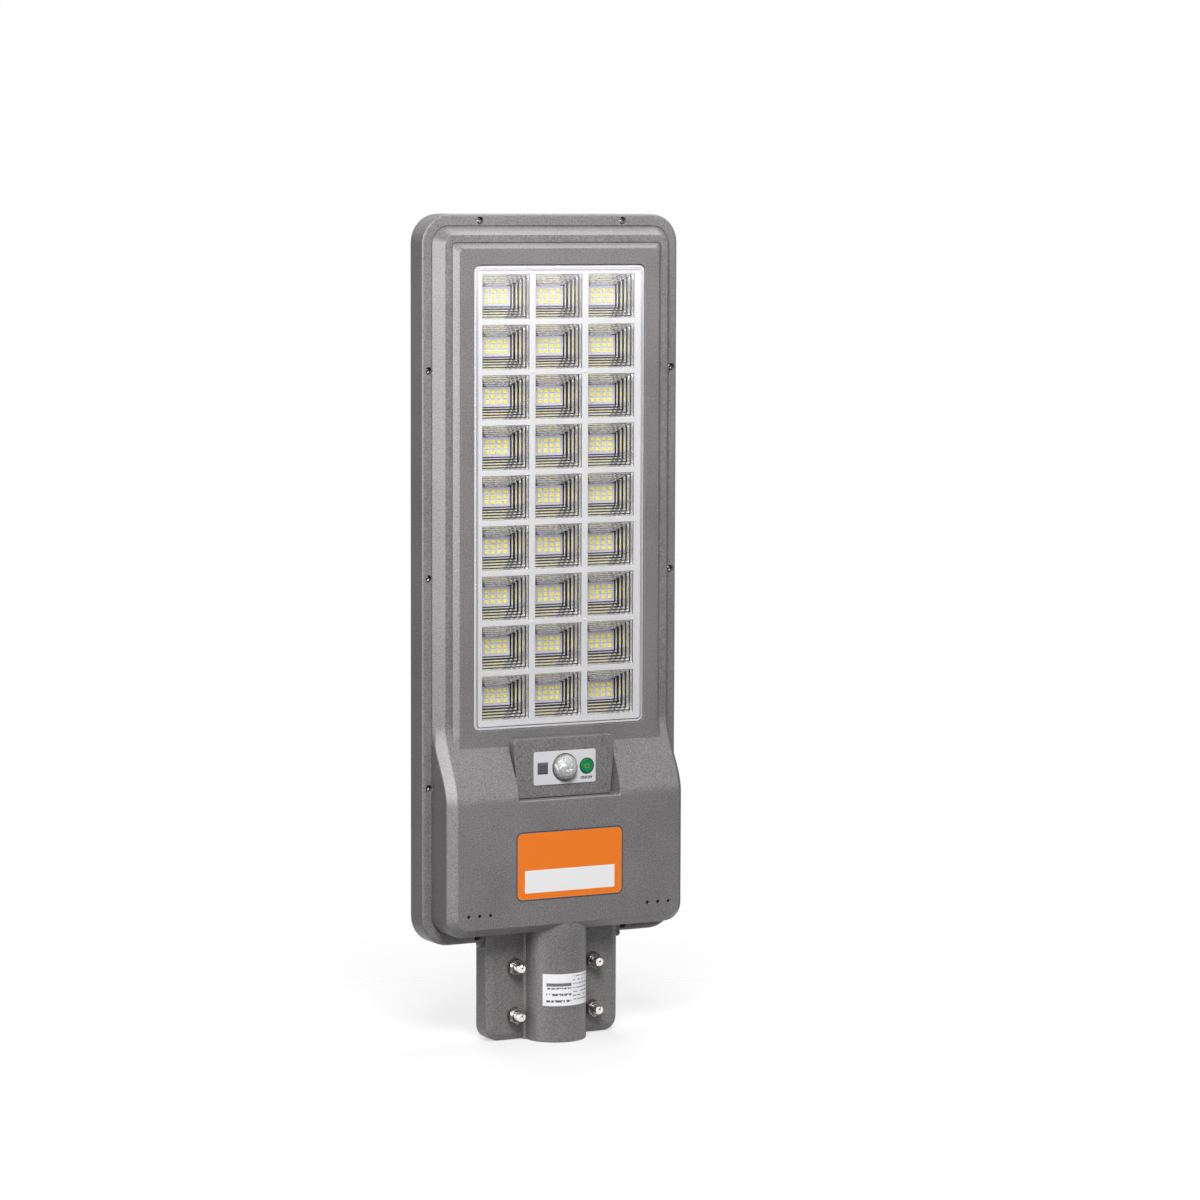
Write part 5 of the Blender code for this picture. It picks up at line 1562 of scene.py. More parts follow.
    def cuts(self) -> list[Item]:
        """List the cutters of the shell's openings, most with a slightly flared mouth.

        Returns:
            The cutters.
        """
        lens, face, seat_y = lens_outline(8), self.face_y, self.face_y + self.lens_sink
        gap, wide = self.lens_gap, self.lens_gap + self.lens_flare
        made = [lofted("lens_pocket", [lens.ring(y, -grow) for y, grow in (
            (seat_y, gap), (face + self.lens_flare, gap), (face, wide), (face - SPARE, wide))])]
        made.append(lofted("window", [lens.ring(y, self.seat_width) for y in (face, seat_y + 0.01)]))
        made.append(self.sensor_pocket())
        for number in SCREWS:
            node = f"housing_screw_{number:02d}"
            floor_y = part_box(node)[0].y + self.counterbore_floor
            hole = flared(self.counterbore, self.counterbore_flare, floor_y, self.rim_y)
            made.append(turned("counterbore", hole, middle_of(node), 24))
        hole = flared(self.drain_radius, self.drain_flare, self.hood_y + self.wall + SPARE, self.hood_y)
        made += [turned("drain", hole, place, 20) for place in self.drains()]
        half, high = [size + SEAT_GAP for size in NAME_PLATE_HALF]
        label = Outline(half, NAME_PLATE_Z - high, NAME_PLATE_Z + high, NAME_PLATE_CORNER + SEAT_GAP)
        made.append(lofted("label_seat", [label.ring(self.hood_y + y) for y in (-SPARE, self.label_sink)]))
        made.append(self.neck_hollow())
        bore = [(point.x, point.z) for point in round_ring(BORE_RADIUS, 0.0, sides=64)]
        made.append(lofted("bore", [level(bore, z) for z in (-SPARE, self.end - SEAT_GAP)]))
        made += [turned("bolt_hole", [(BOLT_HOLE, y) for y in (-SPARE, self.neck_depth)], place, 24)
                 for place in bolt_places()]
        return made

    def drains(self) -> list[Flat]:
        """List the drain holes' centres."""
        return [(side * x, self.drain_z) for side in (-1, 1) for x in self.drain_places]

    def sensor_pocket(self) -> Item:
        """Make the cutter of the tapered pocket that the sensor slab stands in.

        Returns:
            The cutter.
        """
        floor_y = self.face_y + SEAT_GAP
        draft = (floor_y - self.hood_y) * math.tan(self.pocket_draft)
        deep = slab_ring(floor_y, *self.pocket_gap)
        wide = slab_ring(self.hood_y, self.pocket_gap[0] + draft, self.pocket_gap[1])
        near = [start.lerp(end, self.pocket_lip_start) for start, end in zip(deep, wide)]
        lip, beyond = [slab_ring(y, self.pocket_lip[0] + draft, self.pocket_lip[1])
                       for y in (self.hood_y, self.hood_y - SPARE)]
        return lofted("pocket", [deep, near, lip, beyond])

    def neck_hollow(self) -> Item:
        """Make the cutter that hollows the neck from behind round its bolt bosses and ribs.

        Returns:
            The cutter.
        """
        half = self.neck_half - self.neck_wall
        outline = Outline(half, self.neck_wall, self.end - 2 * SEAT_GAP, self.neck_corner - self.neck_wall)
        hollow = lofted("neck_hollow", [outline.ring(y) for y in (
            self.neck_front + self.neck_wall, self.neck_depth + SPARE)])
        boss_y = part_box("clamp_saddle")[0].y - SEAT_GAP
        kept = []
        for x, z in bolt_places():
            kept.append(turned("bolt_boss", [(self.bolt_boss, y) for y in (-SPARE, boss_y)], (x, z), 24))
            reach = math.copysign(half + SPARE, x)
            rib = (abs(reach - x) / 2, self.bolt_rib / 2)
            kept.append(lofted("bolt_rib", [box_ring(rib, y, ((x + reach) / 2, z))
                                            for y in (-SPARE, boss_y - SEAT_GAP)]))
        return carve(hollow, kept)

    def build(self) -> None:
        """Model the shell, the dark discs painted as shade in its drains, and its screws."""
        shell = self.body("housing_shell", 0.0, self.back_y)
        carve(shell, self.neck() + self.nubs(), "UNION")
        carve(shell, [self.hollow()] + self.cuts())
        polish(shell, finish(Look.HOUSING))
        register(shell, Slot.HOUSING, "front_housing")
        self.drain_shades()
        self.screws()

    def drain_shades(self) -> None:
        """Model dark discs a little below the hood's face, in the drain holes as their painted shade."""
        rim = self.drain_radius - self.drain_shade_gap
        # dark discs that stand in for the shade inside the drain holes
        disc = turned("disc", [(rim * share, y) for share, y in (
            (0.4, 0.0001), (0.8, 0.0002), (1.0, 0.0005), (1.0, 0.0015))], sides=20)
        places = upright(self.drains(), self.hood_y + SEAT_GAP)
        register(self.repeater.at_places("drain_vents", disc, places, finish(Look.PRINT)), Slot.BLACK)

    def screws(self) -> None:
        """Model the cover screws, pan heads with a cross recess."""
        nodes = [f"housing_screw_{number:02d}" for number in SCREWS]
        low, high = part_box(nodes[0])
        radius, length = (high.x - low.x) / 2, high.y - low.y
        screw = turned("screw", [(share * radius, y) for share, y in (
            (0.55, 0.0), (0.85, 0.0003), (1.0, 0.0009), (1.0, 0.0019), (0.53, 0.0019),
            (0.53, length - 0.001), (0.2, length))], sides=20)
        arms = []
        for half in (self.recess_half, self.recess_half[::-1]):
            foot = (half[0] * self.recess_taper, half[1] * self.recess_taper)
            arms.append(lofted("arm", [box_ring(half, -0.001), box_ring(foot, self.recess_depth)]))
        carve(screw, arms)
        places = upright([middle_of(node) for node in nodes], low.y)
        piece = self.repeater.at_places("cover_screws", screw, places, finish(Look.NUT))
        register(piece, Slot.STEEL, *nodes)


# Rear frame


@dataclass
class RearFrame:
    """Panel-side frame with a bevelled edge."""

    corner: float = 0.024
    end: float = 0.084
    side_inset: float = 0.0045
    bevel: float = 0.0054
    bevel_depth: float = 0.0045
    flange: float = 0.002
    plate: float = 0.003
    wall: float = 0.0026
    lap: float = 0.007
    pocket_gap: float = 0.0005
    pocket_wall: float = 0.002
    window_corner: float = 0.002
    rounds: tuple[tuple[int, float], ...] = ((3, 0.0011), (4, 0.0011), (5, 0.0007))

    def build(self) -> None:
        """Model the frame."""
        low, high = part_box("rear_frame")
        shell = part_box("front_housing")[1]
        outer = Outline(shell.x, self.end, shell.z, self.corner, 0.003, 10)
        glass_low, glass_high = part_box("panel_glass")
        window = Outline(glass_high.x - self.lap, glass_low.z + self.lap, glass_high.z - self.lap,
                         self.window_corner, 0.0005, 10)
        back_y, flange_y, inner_y = high.y, low.y + self.flange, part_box("panel_backsheet")[0].y
        lip_y, bevel_y = back_y - self.plate, back_y - self.bevel_depth
        flange_in, inside = shell.x - high.x, self.side_inset + self.wall
        pocket = -self.lap - self.pocket_gap
        around = pocket - self.pocket_wall
        rings = [outline.ring(y, inset) for outline, y, inset in (
            (outer, low.y, flange_in), (outer, flange_y, flange_in), (outer, flange_y, self.side_inset),
            (outer, bevel_y, self.side_inset), (outer, back_y, self.side_inset + self.bevel),
            (window, back_y, 0.0), (window, lip_y, 0.0), (window, lip_y, pocket), (window, inner_y, pocket),
            (window, inner_y, around), (window, lip_y - self.pocket_gap, around),
            (outer, bevel_y, inside), (outer, low.y, inside))]
        frame = lofted("rear_frame_shell", soften(rings, dict(self.rounds)), capped=False)
        polish(frame, finish(Look.HOUSING))
        register(frame, Slot.HOUSING, "rear_frame")


# Light unit


@dataclass
class LightUnit:
    """Clear lens over a white grid of plated, stepped cups with LED chips at their floors."""

    repeater: Repeater
    bevel: float = 0.0012
    lens_lap: float = 0.0016
    lens_round: float = 0.0004
    counts: tuple[int, int] = (3, 9)
    mouth_flare: Flat = (0.0006, 0.0003)  # width and depth of the flare of the grid's openings
    floor: Flat = (0.0262, 0.0165)
    terraces: int = 5
    tread: float = 0.26
    tread_fall: float = 0.00005
    grid_depth: float = 0.0018
    cup_wall: float = 0.0007
    cup_front: float = 0.0002
    cup_taper: float = 0.0004
    cup_gap: float = 0.00005
    cup_smooth: float = math.radians(5)
    chip: tuple[float, float, float] = (0.0035, 0.0007, 0.0032)
    chip_counts: tuple[int, int] = (4, 3)
    chip_pitch: Flat = (0.0058, 0.0044)
    chip_gap: float = 0.00002
    pin_radius: float = 0.0013
    pin_row: float = 2.5

    def __post_init__(self) -> None:
        """Read the unit's place off the frame."""
        low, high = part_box("reflector_tray")
        self.front_y, self.middle = low.y, (low.z + high.z) / 2
        self.board_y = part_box("led_board")[0].y

    def lens(self) -> None:
        """Model the lens with its bevelled rim."""
        low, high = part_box("lens_cover")
        outline = lens_outline(10)
        rings = [outline.ring(y, inset) for y, inset in (
            (low.y, self.bevel + self.lens_lap), (low.y, self.bevel), (low.y + self.bevel, 0.0),
            (high.y, 0.0))]
        lens = lofted("lens_window", soften(rings, {1: self.lens_round, 2: self.lens_round}))
        polish(lens, finish(Look.CLEAR))
        register(lens, Slot.CLEAR, "lens_cover")

    def over_cups(self, name: str, shape: Item, y: float, look: Look) -> Item:
        """Copy a shape to every cup."""
        return self.repeater.over_grid(name, shape, self.counts, CUP_PITCH, (0.0, y, self.middle),
                                       finish(look))

    def grid(self) -> None:
        """Model the white grid plate with its rectangular openings."""
        outline = Outline.around("reflector_tray", 0.003, 0.001, 6)
        plate = lofted("reflector_grid", [outline.ring(self.front_y + y) for y in (0.0, self.grid_depth)])
        flare, flare_depth = self.mouth_flare
        opening = lofted("opening", [
            box_ring(((CUP_MOUTH[0] + grow) / 2, (CUP_MOUTH[1] + grow) / 2), y) for grow, y in (
                (flare, -SPARE), (flare, 0.0), (0.0, flare_depth), (0.0, self.grid_depth + SPARE))])
        carve(plate, [self.over_cups("openings", opening, self.front_y, Look.WHITE)])
        polish(plate, finish(Look.WHITE))
        register(plate, Slot.WHITE, "reflector_tray")

    def cup_ring(self, share: float, y: float, grow: float = 0.0) -> Ring:
        """List a cup's corners at a share of the way from mouth to floor."""
        half = [(mouth + (floor - mouth) * share) / 2 + grow for mouth, floor in zip(CUP_MOUTH, self.floor)]
        return box_ring(half, y)

    def cups(self) -> None:
        """Model the plated cups: terraces down to an open floor, and a thin outer wall."""
        depth = self.board_y - SEAT_GAP - self.front_y
        rings = [self.cup_ring(0.0, self.cup_front, -self.cup_gap)]
        for step in range(1, self.terraces + 1):
            share = step / self.terraces
            rings.append(self.cup_ring(share - self.tread / self.terraces, depth * share - self.tread_fall))
            rings.append(self.cup_ring(share, depth * share))
        rings.append(self.cup_ring(1.0, depth, self.cup_wall))
        rings.append(self.cup_ring(0.0, self.grid_depth + SEAT_GAP, self.cup_wall - self.cup_taper))
        rings.append(self.cup_ring(0.0, self.grid_depth))
        cup = add_piece("cup", loft(rings, capped=False), smooth=self.cup_smooth)
        register(self.over_cups("reflector_cups", cup, self.front_y, Look.PLATED), Slot.PLATED)

    def chips(self) -> None:
        """Model the LED chips on their board: white frames and yellow phosphor."""
        width, height, length = self.chip
        frame, dot = [lofted(name, [box_ring((width * across, length * along), -height * rise)
                                    for across, along, rise in shares]) for name, shares in (
            ("chip", ((0.5, 0.5, 0.0), (0.5, 0.5, 0.7), (0.44, 0.42, 1.0), (0.40, 0.38, 0.9))),
            ("dot", ((0.42, 0.42, 0.88), (0.40, 0.40, 1.04))))]
        for name, shape, look, slot in (("led_chips", frame, Look.CHIP, Slot.WHITE),
                                        ("led_phosphors", dot, Look.PHOSPHOR, Slot.BOARD)):
            group = self.repeater.over_grid("group", shape, self.chip_counts, self.chip_pitch,
                                            (0.0, 0.0, 0.0), finish(look))
            register(self.over_cups(name, group, self.board_y - self.chip_gap, look), slot)

    def pins(self) -> None:
        """Model the four round pins on the grid."""
        pin = turned("pin", [(self.pin_radius * share, y) for share, y in (
            (1.3, 0.0002), (1.0, -0.0003), (0.6, -0.0007))], sides=16)
        rise = CUP_PITCH[1] * self.pin_row
        places = upright([(side * CUP_PITCH[0] / 2, self.middle + lift)
                          for side in (-1, 1) for lift in (-rise, rise)], self.front_y)
        pins = self.repeater.at_places("reflector_pins", pin, places, finish(Look.WHITE))
        register(pins, Slot.WHITE)

    def build(self) -> None:
        """Model the unit."""
        self.lens()
        self.grid()
        self.cups()
        self.chips()
        self.pins()


# Sensor unit


@dataclass
class SensorUnit:
    """Slab in the hood's pocket with a white plate, motion dome, light window and push button."""

    spacing: float = 0.0208
    sides: int = 40
    slab_round: float = 0.0008
    slab_lap: float = 0.003
    slab_wall: float = 0.0018
    slab_plate: float = 0.002
    seat_depth: float = 0.004
    plate_lap: float = 0.0008
    plate_round: float = 0.00025
    dome_radius: float = 0.0112
    dome_rise: float = 0.0098
    dome_sides: int = 14
    dome_smooth: float = math.radians(4)
    dome_levels: tuple[Flat, ...] = ((0.30, 0.95), (0.62, 0.80), (0.86, 0.52), (0.985, 0.16))
    collar_wall: float = 0.0012
    window: float = 0.0094
    window_chamfer: Flat = (0.0007, 0.0005)
    window_flange: float = 0.0016
    button_radius: float = 0.0057
    button_proud: float = 0.0008
    button_face: float = 0.0006  # radius of the flat at its middle
    button_flange: Flat = (0.0023, 0.0032)  # depths below the slab's face
    button_stem: float = 0.002
    ring_gap: float = 0.0007
    gap_shade_shares: Flat = (0.2, 1.7)  # of the gap, from the cap's edge to the black ring's edges
    gap_shade_depths: Flat = (-0.0001, 0.0004)
    mark_radius: float = 0.0019
    mark_width: float = 0.0005
    mark_depth: float = 0.0003
    mark_sink: float = 0.0002
    mark_arc: Flat = (125.0, 290.0)  # degrees at which the ring starts and that it covers
    words_size: float = 0.0031
    words_weight: float = 0.00012
    words_depth: float = 0.00003
    words_place: Flat = (-0.0003, -0.0108)  # from the button's middle

    def __post_init__(self) -> None:
        """Read the unit's place off the frame."""
        low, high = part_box("sensor_slab")
        self.slab_y, self.back_y = low.y, high.y
        plate_low, plate_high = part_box("sensor_face_plate")
        self.plate_y, self.plate_back = plate_low.y, plate_high.y
        self.middle = (plate_low.z + plate_high.z) / 2
        self.dome_place, self.button_place = (0.0, self.middle), (self.spacing, self.middle)
        self.window_place = (-self.spacing, self.middle)

    def openings(self, front_y: float, back_y: float) -> list[Item]:
        """List the cutters for the light window, the dome and the button.

        Args:
            front_y: Depth at which they start.
            back_y: Depth at which they end.

        Returns:
            The cutters.
        """
        half = self.window / 2 + SEAT_GAP
        ends = (front_y, back_y)
        light = lofted("light_hole", [box_ring((half, half), y, self.window_place) for y in ends])
        rounds = ((self.dome_place, self.dome_radius), (self.button_place, self.button_radius))
        return [light] + [turned("round_hole", [(radius + self.ring_gap, y) for y in ends], place, self.sides)
                          for place, radius in rounds]

    def slab(self) -> None:
        """Model the slab as a hollow cap with rounded edges."""
        rings = [slab_ring(self.slab_y, -self.slab_lap, -self.slab_lap), slab_ring(self.slab_y),
                 slab_ring(self.back_y)]
        slab = lofted("sensor_slab_cap", soften(rings, {1: self.slab_round}))
        room = lofted("room", [slab_ring(y, -self.slab_wall, -self.slab_wall) for y in (
            self.slab_y + self.slab_plate, self.back_y + SPARE)])
        carve(slab, [room] + self.openings(self.slab_y - SPARE, self.slab_y + self.seat_depth))
        polish(slab, finish(Look.HOUSING))
        register(slab, Slot.HOUSING, "sensor_slab")

    def plate(self) -> None:
        """Model the white plate with its openings."""
        outline = Outline.around("sensor_face_plate", 0.0014, 0.0006, 5)
        rings = [outline.ring(self.plate_y, self.plate_lap), outline.ring(self.plate_y),
                 outline.ring(self.plate_back)]
        plate = lofted("sensor_plate", soften(rings, {1: self.plate_round}))
        carve(plate, self.openings(self.plate_y - SPARE, self.plate_back + SPARE))
        polish(plate, finish(Look.PLATE))
        register(plate, Slot.WHITE, "sensor_face_plate")

    def dome(self) -> None:
        """Model the motion sensor's faceted dome with its rim."""
        base_y, radius, sides = self.plate_y + SEAT_GAP, self.dome_radius, self.dome_sides
        mesh = bmesh.new()
        rows = []
        for row, (share, rise) in enumerate(self.dome_levels):
            ring = round_ring(radius * share, base_y - self.dome_rise * rise, self.dome_place, sides,
                              math.pi / sides * (row % 2))
            rows.append([mesh.verts.new(point) for point in ring])
        mesh.faces.new(rows[0])
        for row, (lower, upper) in enumerate(zip(rows, rows[1:])):
            for index in range(sides):
                after = (index + 1) % sides
                tips = (upper[index], upper[after]) if row % 2 else (upper[index - 1], upper[index])
                mesh.faces.new((lower[index], lower[after], tips[1]))
                mesh.faces.new((lower[index], tips[1], tips[0]))
        bmesh.ops.holes_fill(mesh, edges=[edge for edge in mesh.edges if edge.is_boundary])
        dome = add_piece("motion_dome", mesh, finish(Look.DOME), self.dome_smooth)
        inner, seat_y = radius - self.collar_wall, self.slab_y + self.seat_depth
        collar = turned("dome_collar", [
            (inner, base_y - 0.0022), (radius - 0.0001, base_y - 0.0016), (radius, base_y), (radius, seat_y),
            (inner, seat_y)], self.dome_place, self.sides, finish(Look.DOME), capped=False)
        register(dome, Slot.CLEAR, "motion_lens")
        register(collar, Slot.CLEAR)

    def light_window(self) -> None:
        """Model the light sensor's dark window with a chamfered edge."""
        low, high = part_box("light_sensor")
        half, wide, flange_y = self.window / 2, high.x + self.spacing, high.y - self.window_flange
        inset, depth = self.window_chamfer
        rings = [box_ring((reach, reach), y, self.window_place) for reach, y in (
            (half - inset, low.y), (half, low.y + depth), (half, flange_y), (wide, flange_y), (wide, high.y))]
        window = lofted("light_window", rings, finish(Look.DARK_WINDOW))
        register(window, Slot.BLACK, "light_sensor")

    def button(self) -> None:
        """Model the push button, a domed cap with a raised ring on its flange and stem, and a black ring
        round it as the painted shade of the gap.
        """
        low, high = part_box("power_button")
        radius, flange, stem = self.button_radius, (high.x - low.x) / 2, self.button_stem
        face_y = max(low.y, self.plate_y - self.button_proud)
        front, back = [self.slab_y + depth for depth in self.button_flange]
        profile = [(self.button_face, face_y + SEAT_GAP)]
        profile += [(radius * share, face_y + depth) for share, depth in (
            (0.45, 0.0004), (0.78, 0.0005), (0.84, 0.0), (0.93, 0.0001), (1.0, 0.0007))]
        profile += [(radius, front), (flange, front), (flange, back), (stem, back), (stem, high.y)]
        cap = turned("button_cap", profile, self.button_place, self.sides, finish(Look.GREEN))
        register(cap, Slot.RUBBER, "power_button", body=Body.BUTTON)
        # a black ring round the cap, standing in for the shade in the gap between cap and plate
        reaches = [radius + share * self.ring_gap for share in self.gap_shade_shares]
        depths = [self.plate_y + depth for depth in self.gap_shade_depths]
        gap_shade_ring = turned("button_bezel", section_box(*reaches, *depths), self.button_place, self.sides,
                       finish(Look.BLACK), capped=False)
        register(gap_shade_ring, Slot.BLACK)
        mark = add_piece("button_mark", self.power_mark(face_y + self.mark_sink), finish(Look.AMBER))
        register(mark, Slot.RUBBER, body=Body.BUTTON)

    def power_mark(self, y: float) -> Mesh:
        """Make the raised mark of a push switch: an open ring with an upright bar in its gap.

        Args:
            y: Depth of the mark's face.

        Returns:
            The mark.
        """
        radius, half, back_y = self.mark_radius, self.mark_width / 2, y + self.mark_depth
        mark = loft(swept(section_box(radius - half, radius + half, y, back_y), *self.mark_arc, 24,
                          self.button_place))
        bar_place = (self.spacing, self.middle + radius * 0.75)
        return loft([box_ring((half, radius * 0.55), depth, bar_place) for depth in (y, back_y)], mesh=mark)

    def print_words(self) -> None:
        """Print ON and OFF below the button."""
        curve = bpy.data.curves.new("switch_print", "FONT")
        curve.body, curve.align_x = "ON/OFF", "CENTER"
        curve.size, curve.offset, curve.extrude = self.words_size, self.words_weight, self.words_depth
        curve.materials.append(finish(Look.PRINT))
        item = add_object("switch_print", curve)
        bpy.context.view_layer.update()
        mesh = bpy.data.meshes.new_from_object(item)
        bpy.data.objects.remove(item, do_unlink=True)
        across, up = self.words_place
        for vert in mesh.vertices:
            x, y, lift = vert.co
            vert.co = (self.spacing + across + x, self.plate_y - lift - 0.00001, self.middle + up + y)
        register(add_object("switch_print", mesh), Slot.BLACK)

    def build(self) -> None:
        """Model the unit."""
        self.slab()
        self.plate()
        self.dome()
        self.light_window()
        self.button()
        self.print_words()


# Labels


@dataclass
class Labels:
    """Orange name plate on the hood and white rating label on the pole cover, both without words."""

    hood_y: float
    bulge_radius: float
    plate_profile: tuple[Flat, ...] = ((0.0006, 0.00005), (0.0001, 0.00005), (0.0, 0.0002), (0.0, 0.00038))
    rating_x: Flat = (-0.0204, 0.0218)
    rating_z: Flat = (0.0310, 0.0579)
    rating_rise: Flat = (0.00001, 0.00014)  # of its back and its face over the cover
    rating_steps: int = 24

    def build(self) -> None:
        """Model both labels as thin sheets."""
        half, high = NAME_PLATE_HALF
        outline = Outline(half, NAME_PLATE_Z - high, NAME_PLATE_Z + high, NAME_PLATE_CORNER, 0.001)
        rings = [outline.ring(self.hood_y + y, inset) for inset, y in self.plate_profile]
        register(lofted("name_plate", rings, finish(Look.NAME_PLATE)), Slot.WHITE)
        start, end = [math.asin(x / self.bulge_radius) for x in self.rating_x]
        corners = section_box(*[self.bulge_radius + rise for rise in self.rating_rise], *self.rating_z)
        rings = []
        for step in range(self.rating_steps + 1):
            angle = start + (end - start) * step / self.rating_steps
            rings.append([Vector((radius * math.sin(angle), -radius * math.cos(angle), z))
                          for radius, z in corners])
        register(lofted("rating_label", rings, finish(Look.RATING)), Slot.WHITE)


# Pole clamp


@dataclass
class PoleClamp:
    """Pressed saddle with four bolts, their washers and nuts."""

    repeater: Repeater
    thickness: float = 0.0025
    flange_y: float = 0.0115
    foot_bend: float = 0.0035
    ridge_rise: float = 0.0015
    ridge_half: float = 0.0056
    ridge_inside: float = 0.9
    stations: int = 60
    blank_y: float = 0.04
    hole_start: float = 0.002
    hole_pitch: float = 0.0212
    hole_radius: float = 0.00425
    bolt_radius: float = 0.0039
    bolt_sides: int = 24
    bolt_tip: tuple[Flat, ...] = ((0.12, 0.0), (0.40, 0.00012), (0.62, 0.0004))
    bolt_plain: Flat = (0.004, 0.0035)  # below the head: the thread's end and the plain shank's start
    head_chamfer: float = 0.0008
    thread_pitch: float = 0.00125
    thread_depth: float = 0.0003
    thread_run: float = 0.0012
    thread_start: float = 0.82
    per_turn: int = 8
    socket_flats: float = 0.006
    socket_profile: tuple[Flat, ...] = ((0.9, -0.0045), (1.0, -0.0005), (1.1, 0.0), (1.1, SPARE))
    spring_share: float = 0.72
    spring_arc: Flat = (98.0, 344.0)  # degrees at which it starts and that it covers
    nut_flats: float = 0.013
    nut_chamfer: float = 0.0013
    nut_cone: Flat = (0.84, 1.01)
    nut_bore: Flat = (0.0048, 0.0041)
    nut_bore_depth: float = 0.0008
    washer_bore: Flat = (0.0046, BOLT_HOLE)
    washer_round: float = 0.0003

    def saddle(self) -> None:
        """Model the pressed saddle: a half-round crown with three ridges between flat flanges."""
        low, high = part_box("clamp_saddle")
        middles = [(low.z + high.z) / 2 + step * self.hole_pitch for step in (-1, 0, 1)]
        heights = [low.z + (high.z - low.z) * step / self.stations for step in range(self.stations + 1)]
        rings = []
        for z in (low.z - SPARE, *heights, high.z + SPARE):
            reaches = [min(1.0, abs(z - middle) / self.ridge_half) for middle in middles]
            ridge = sum(self.ridge_rise * (1 - away * away) ** 2 for away in reaches)
            outer = self.section(BORE_RADIUS + self.thickness + ridge, self.flange_y + self.thickness, high.x)
            inner = self.section(BORE_RADIUS + ridge * self.ridge_inside, self.flange_y, high.x)
            rings.append(level(outer + inner[::-1], z))
        saddle = lofted("saddle_pressing", rings)
        outline = Outline.around("clamp_saddle", 0.003, 0.001, 6)
        carve(saddle, [lofted("blank", [outline.ring(y) for y in (0.0, self.blank_y)])], "INTERSECT")
        holes = [(place, BOLT_HOLE) for place in bolt_places()]
        holes += [((0.0, middle), self.hole_radius) for middle in middles]
        carve(saddle, [turned("hole", [(radius, y) for y in (self.hole_start, self.blank_y)], place)
                       for place, radius in holes])
        polish(saddle, finish(Look.SADDLE))
        register(saddle, Slot.SADDLE, "clamp_saddle", body=Body.CLAMP)

    def section(self, radius: float, flange_y: float, half: float) -> list[Flat]:
        """List one face of the saddle's section, with soft bends at the crown's feet.

        Args:
            radius: The crown's radius.
            flange_y: Depth of the flanges.
            half: Half the section's width.

        Returns:
            The points' x and y, from flange to flange.
        """
        start = math.asin(flange_y / radius)
        foot, first = radius * math.cos(start), start + self.foot_bend / radius
        arc = [first + (math.pi - 2 * first) * step / 32 for step in range(33)]
        crown = [(radius * math.cos(angle), radius * math.sin(angle)) for angle in arc]
        curve = bend(Vector((foot + self.foot_bend, flange_y)), Vector((foot, flange_y)), Vector(crown[0]), 4)
        side = [(half + SPARE, flange_y)] + [(point.x, point.y) for point in curve[:-1]]
        return side + crown + [(-x, y) for x, y in reversed(side)]

    def thread(self, low_y: float, count: int, center: Flat) -> list[Ring]:
        """List the rings of a rolled thread that starts at the bolt's tip.

        Args:
            low_y: Depth of the tip.
            count: Number of the last ring.
            center: Where the bolt lies.

        Returns:
            The rings.
        """
        rings = []
        for step in range(self.per_turn // 2, count + 1):
            rise = step * self.thread_pitch / self.per_turn
            start = min(1.0, rise / self.thread_run)
            crest = self.bolt_radius * (self.thread_start + (1 - self.thread_start) * start)
            ring = []
            for side in range(self.bolt_sides):
                phase = (step / self.per_turn + side / self.bolt_sides) % 1.0
                radius = crest - self.thread_depth * abs(2 * phase - 1) * start
                ring.append(polar(radius, 2 * math.pi * side / self.bolt_sides, low_y + rise, center))
            rings.append(ring)
        return rings

    def bolt(self, number: int) -> None:
        """Model one socket-head bolt with a rolled thread, and its split spring washer.

        Args:
            number: The bolt's number.
        """
        center, body, steel = bolt_places()[number - 1], Body(f"bolt_{number}"), finish(Look.STEEL)
        low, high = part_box(f"clamp_bolt_{number}")
        spring_low, spring_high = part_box(f"spring_washer_{number}")
        head_y, head_radius = spring_high.y + SEAT_GAP, (high.x - low.x) / 2
        thread_end, plain_start = [head_y - below for below in self.bolt_plain]
        count = int((thread_end - low.y) / self.thread_pitch * self.per_turn)
        tip = [(self.bolt_radius * share, low.y + rise) for share, rise in self.bolt_tip]
        head = [(self.bolt_radius, plain_start), (self.bolt_radius, head_y), (head_radius, head_y),
                (head_radius, high.y - self.head_chamfer), (head_radius - self.head_chamfer, high.y)]
        tip_rings, head_rings = [[round_ring(radius, y, center, self.bolt_sides) for radius, y in profile]
                                 for profile in (tip, head)]
        bolt = lofted(f"threaded_bolt_{number}", tip_rings + self.thread(low.y, count, center) + head_rings)
        reach = self.socket_flats / math.sqrt(3)
        socket = [(reach * share, high.y + rise) for share, rise in self.socket_profile]
        carve(bolt, [turned("socket", socket, center, 6)])
        polish(bolt, steel)
        register(bolt, Slot.STEEL, f"clamp_bolt_{number}", body=body)
        deep, radius = spring_high.y - spring_low.y, (spring_high.x - spring_low.x) / 2
        height = deep * self.spring_share
        coil = section_box(BOLT_HOLE, radius, spring_low.y, spring_low.y + height)
        rings = swept(coil, *self.spring_arc, 40, center, deep - height)
        washer = lofted(f"split_washer_{number}", rings, steel)
        register(washer, Slot.STEEL, f"spring_washer_{number}", body=body)

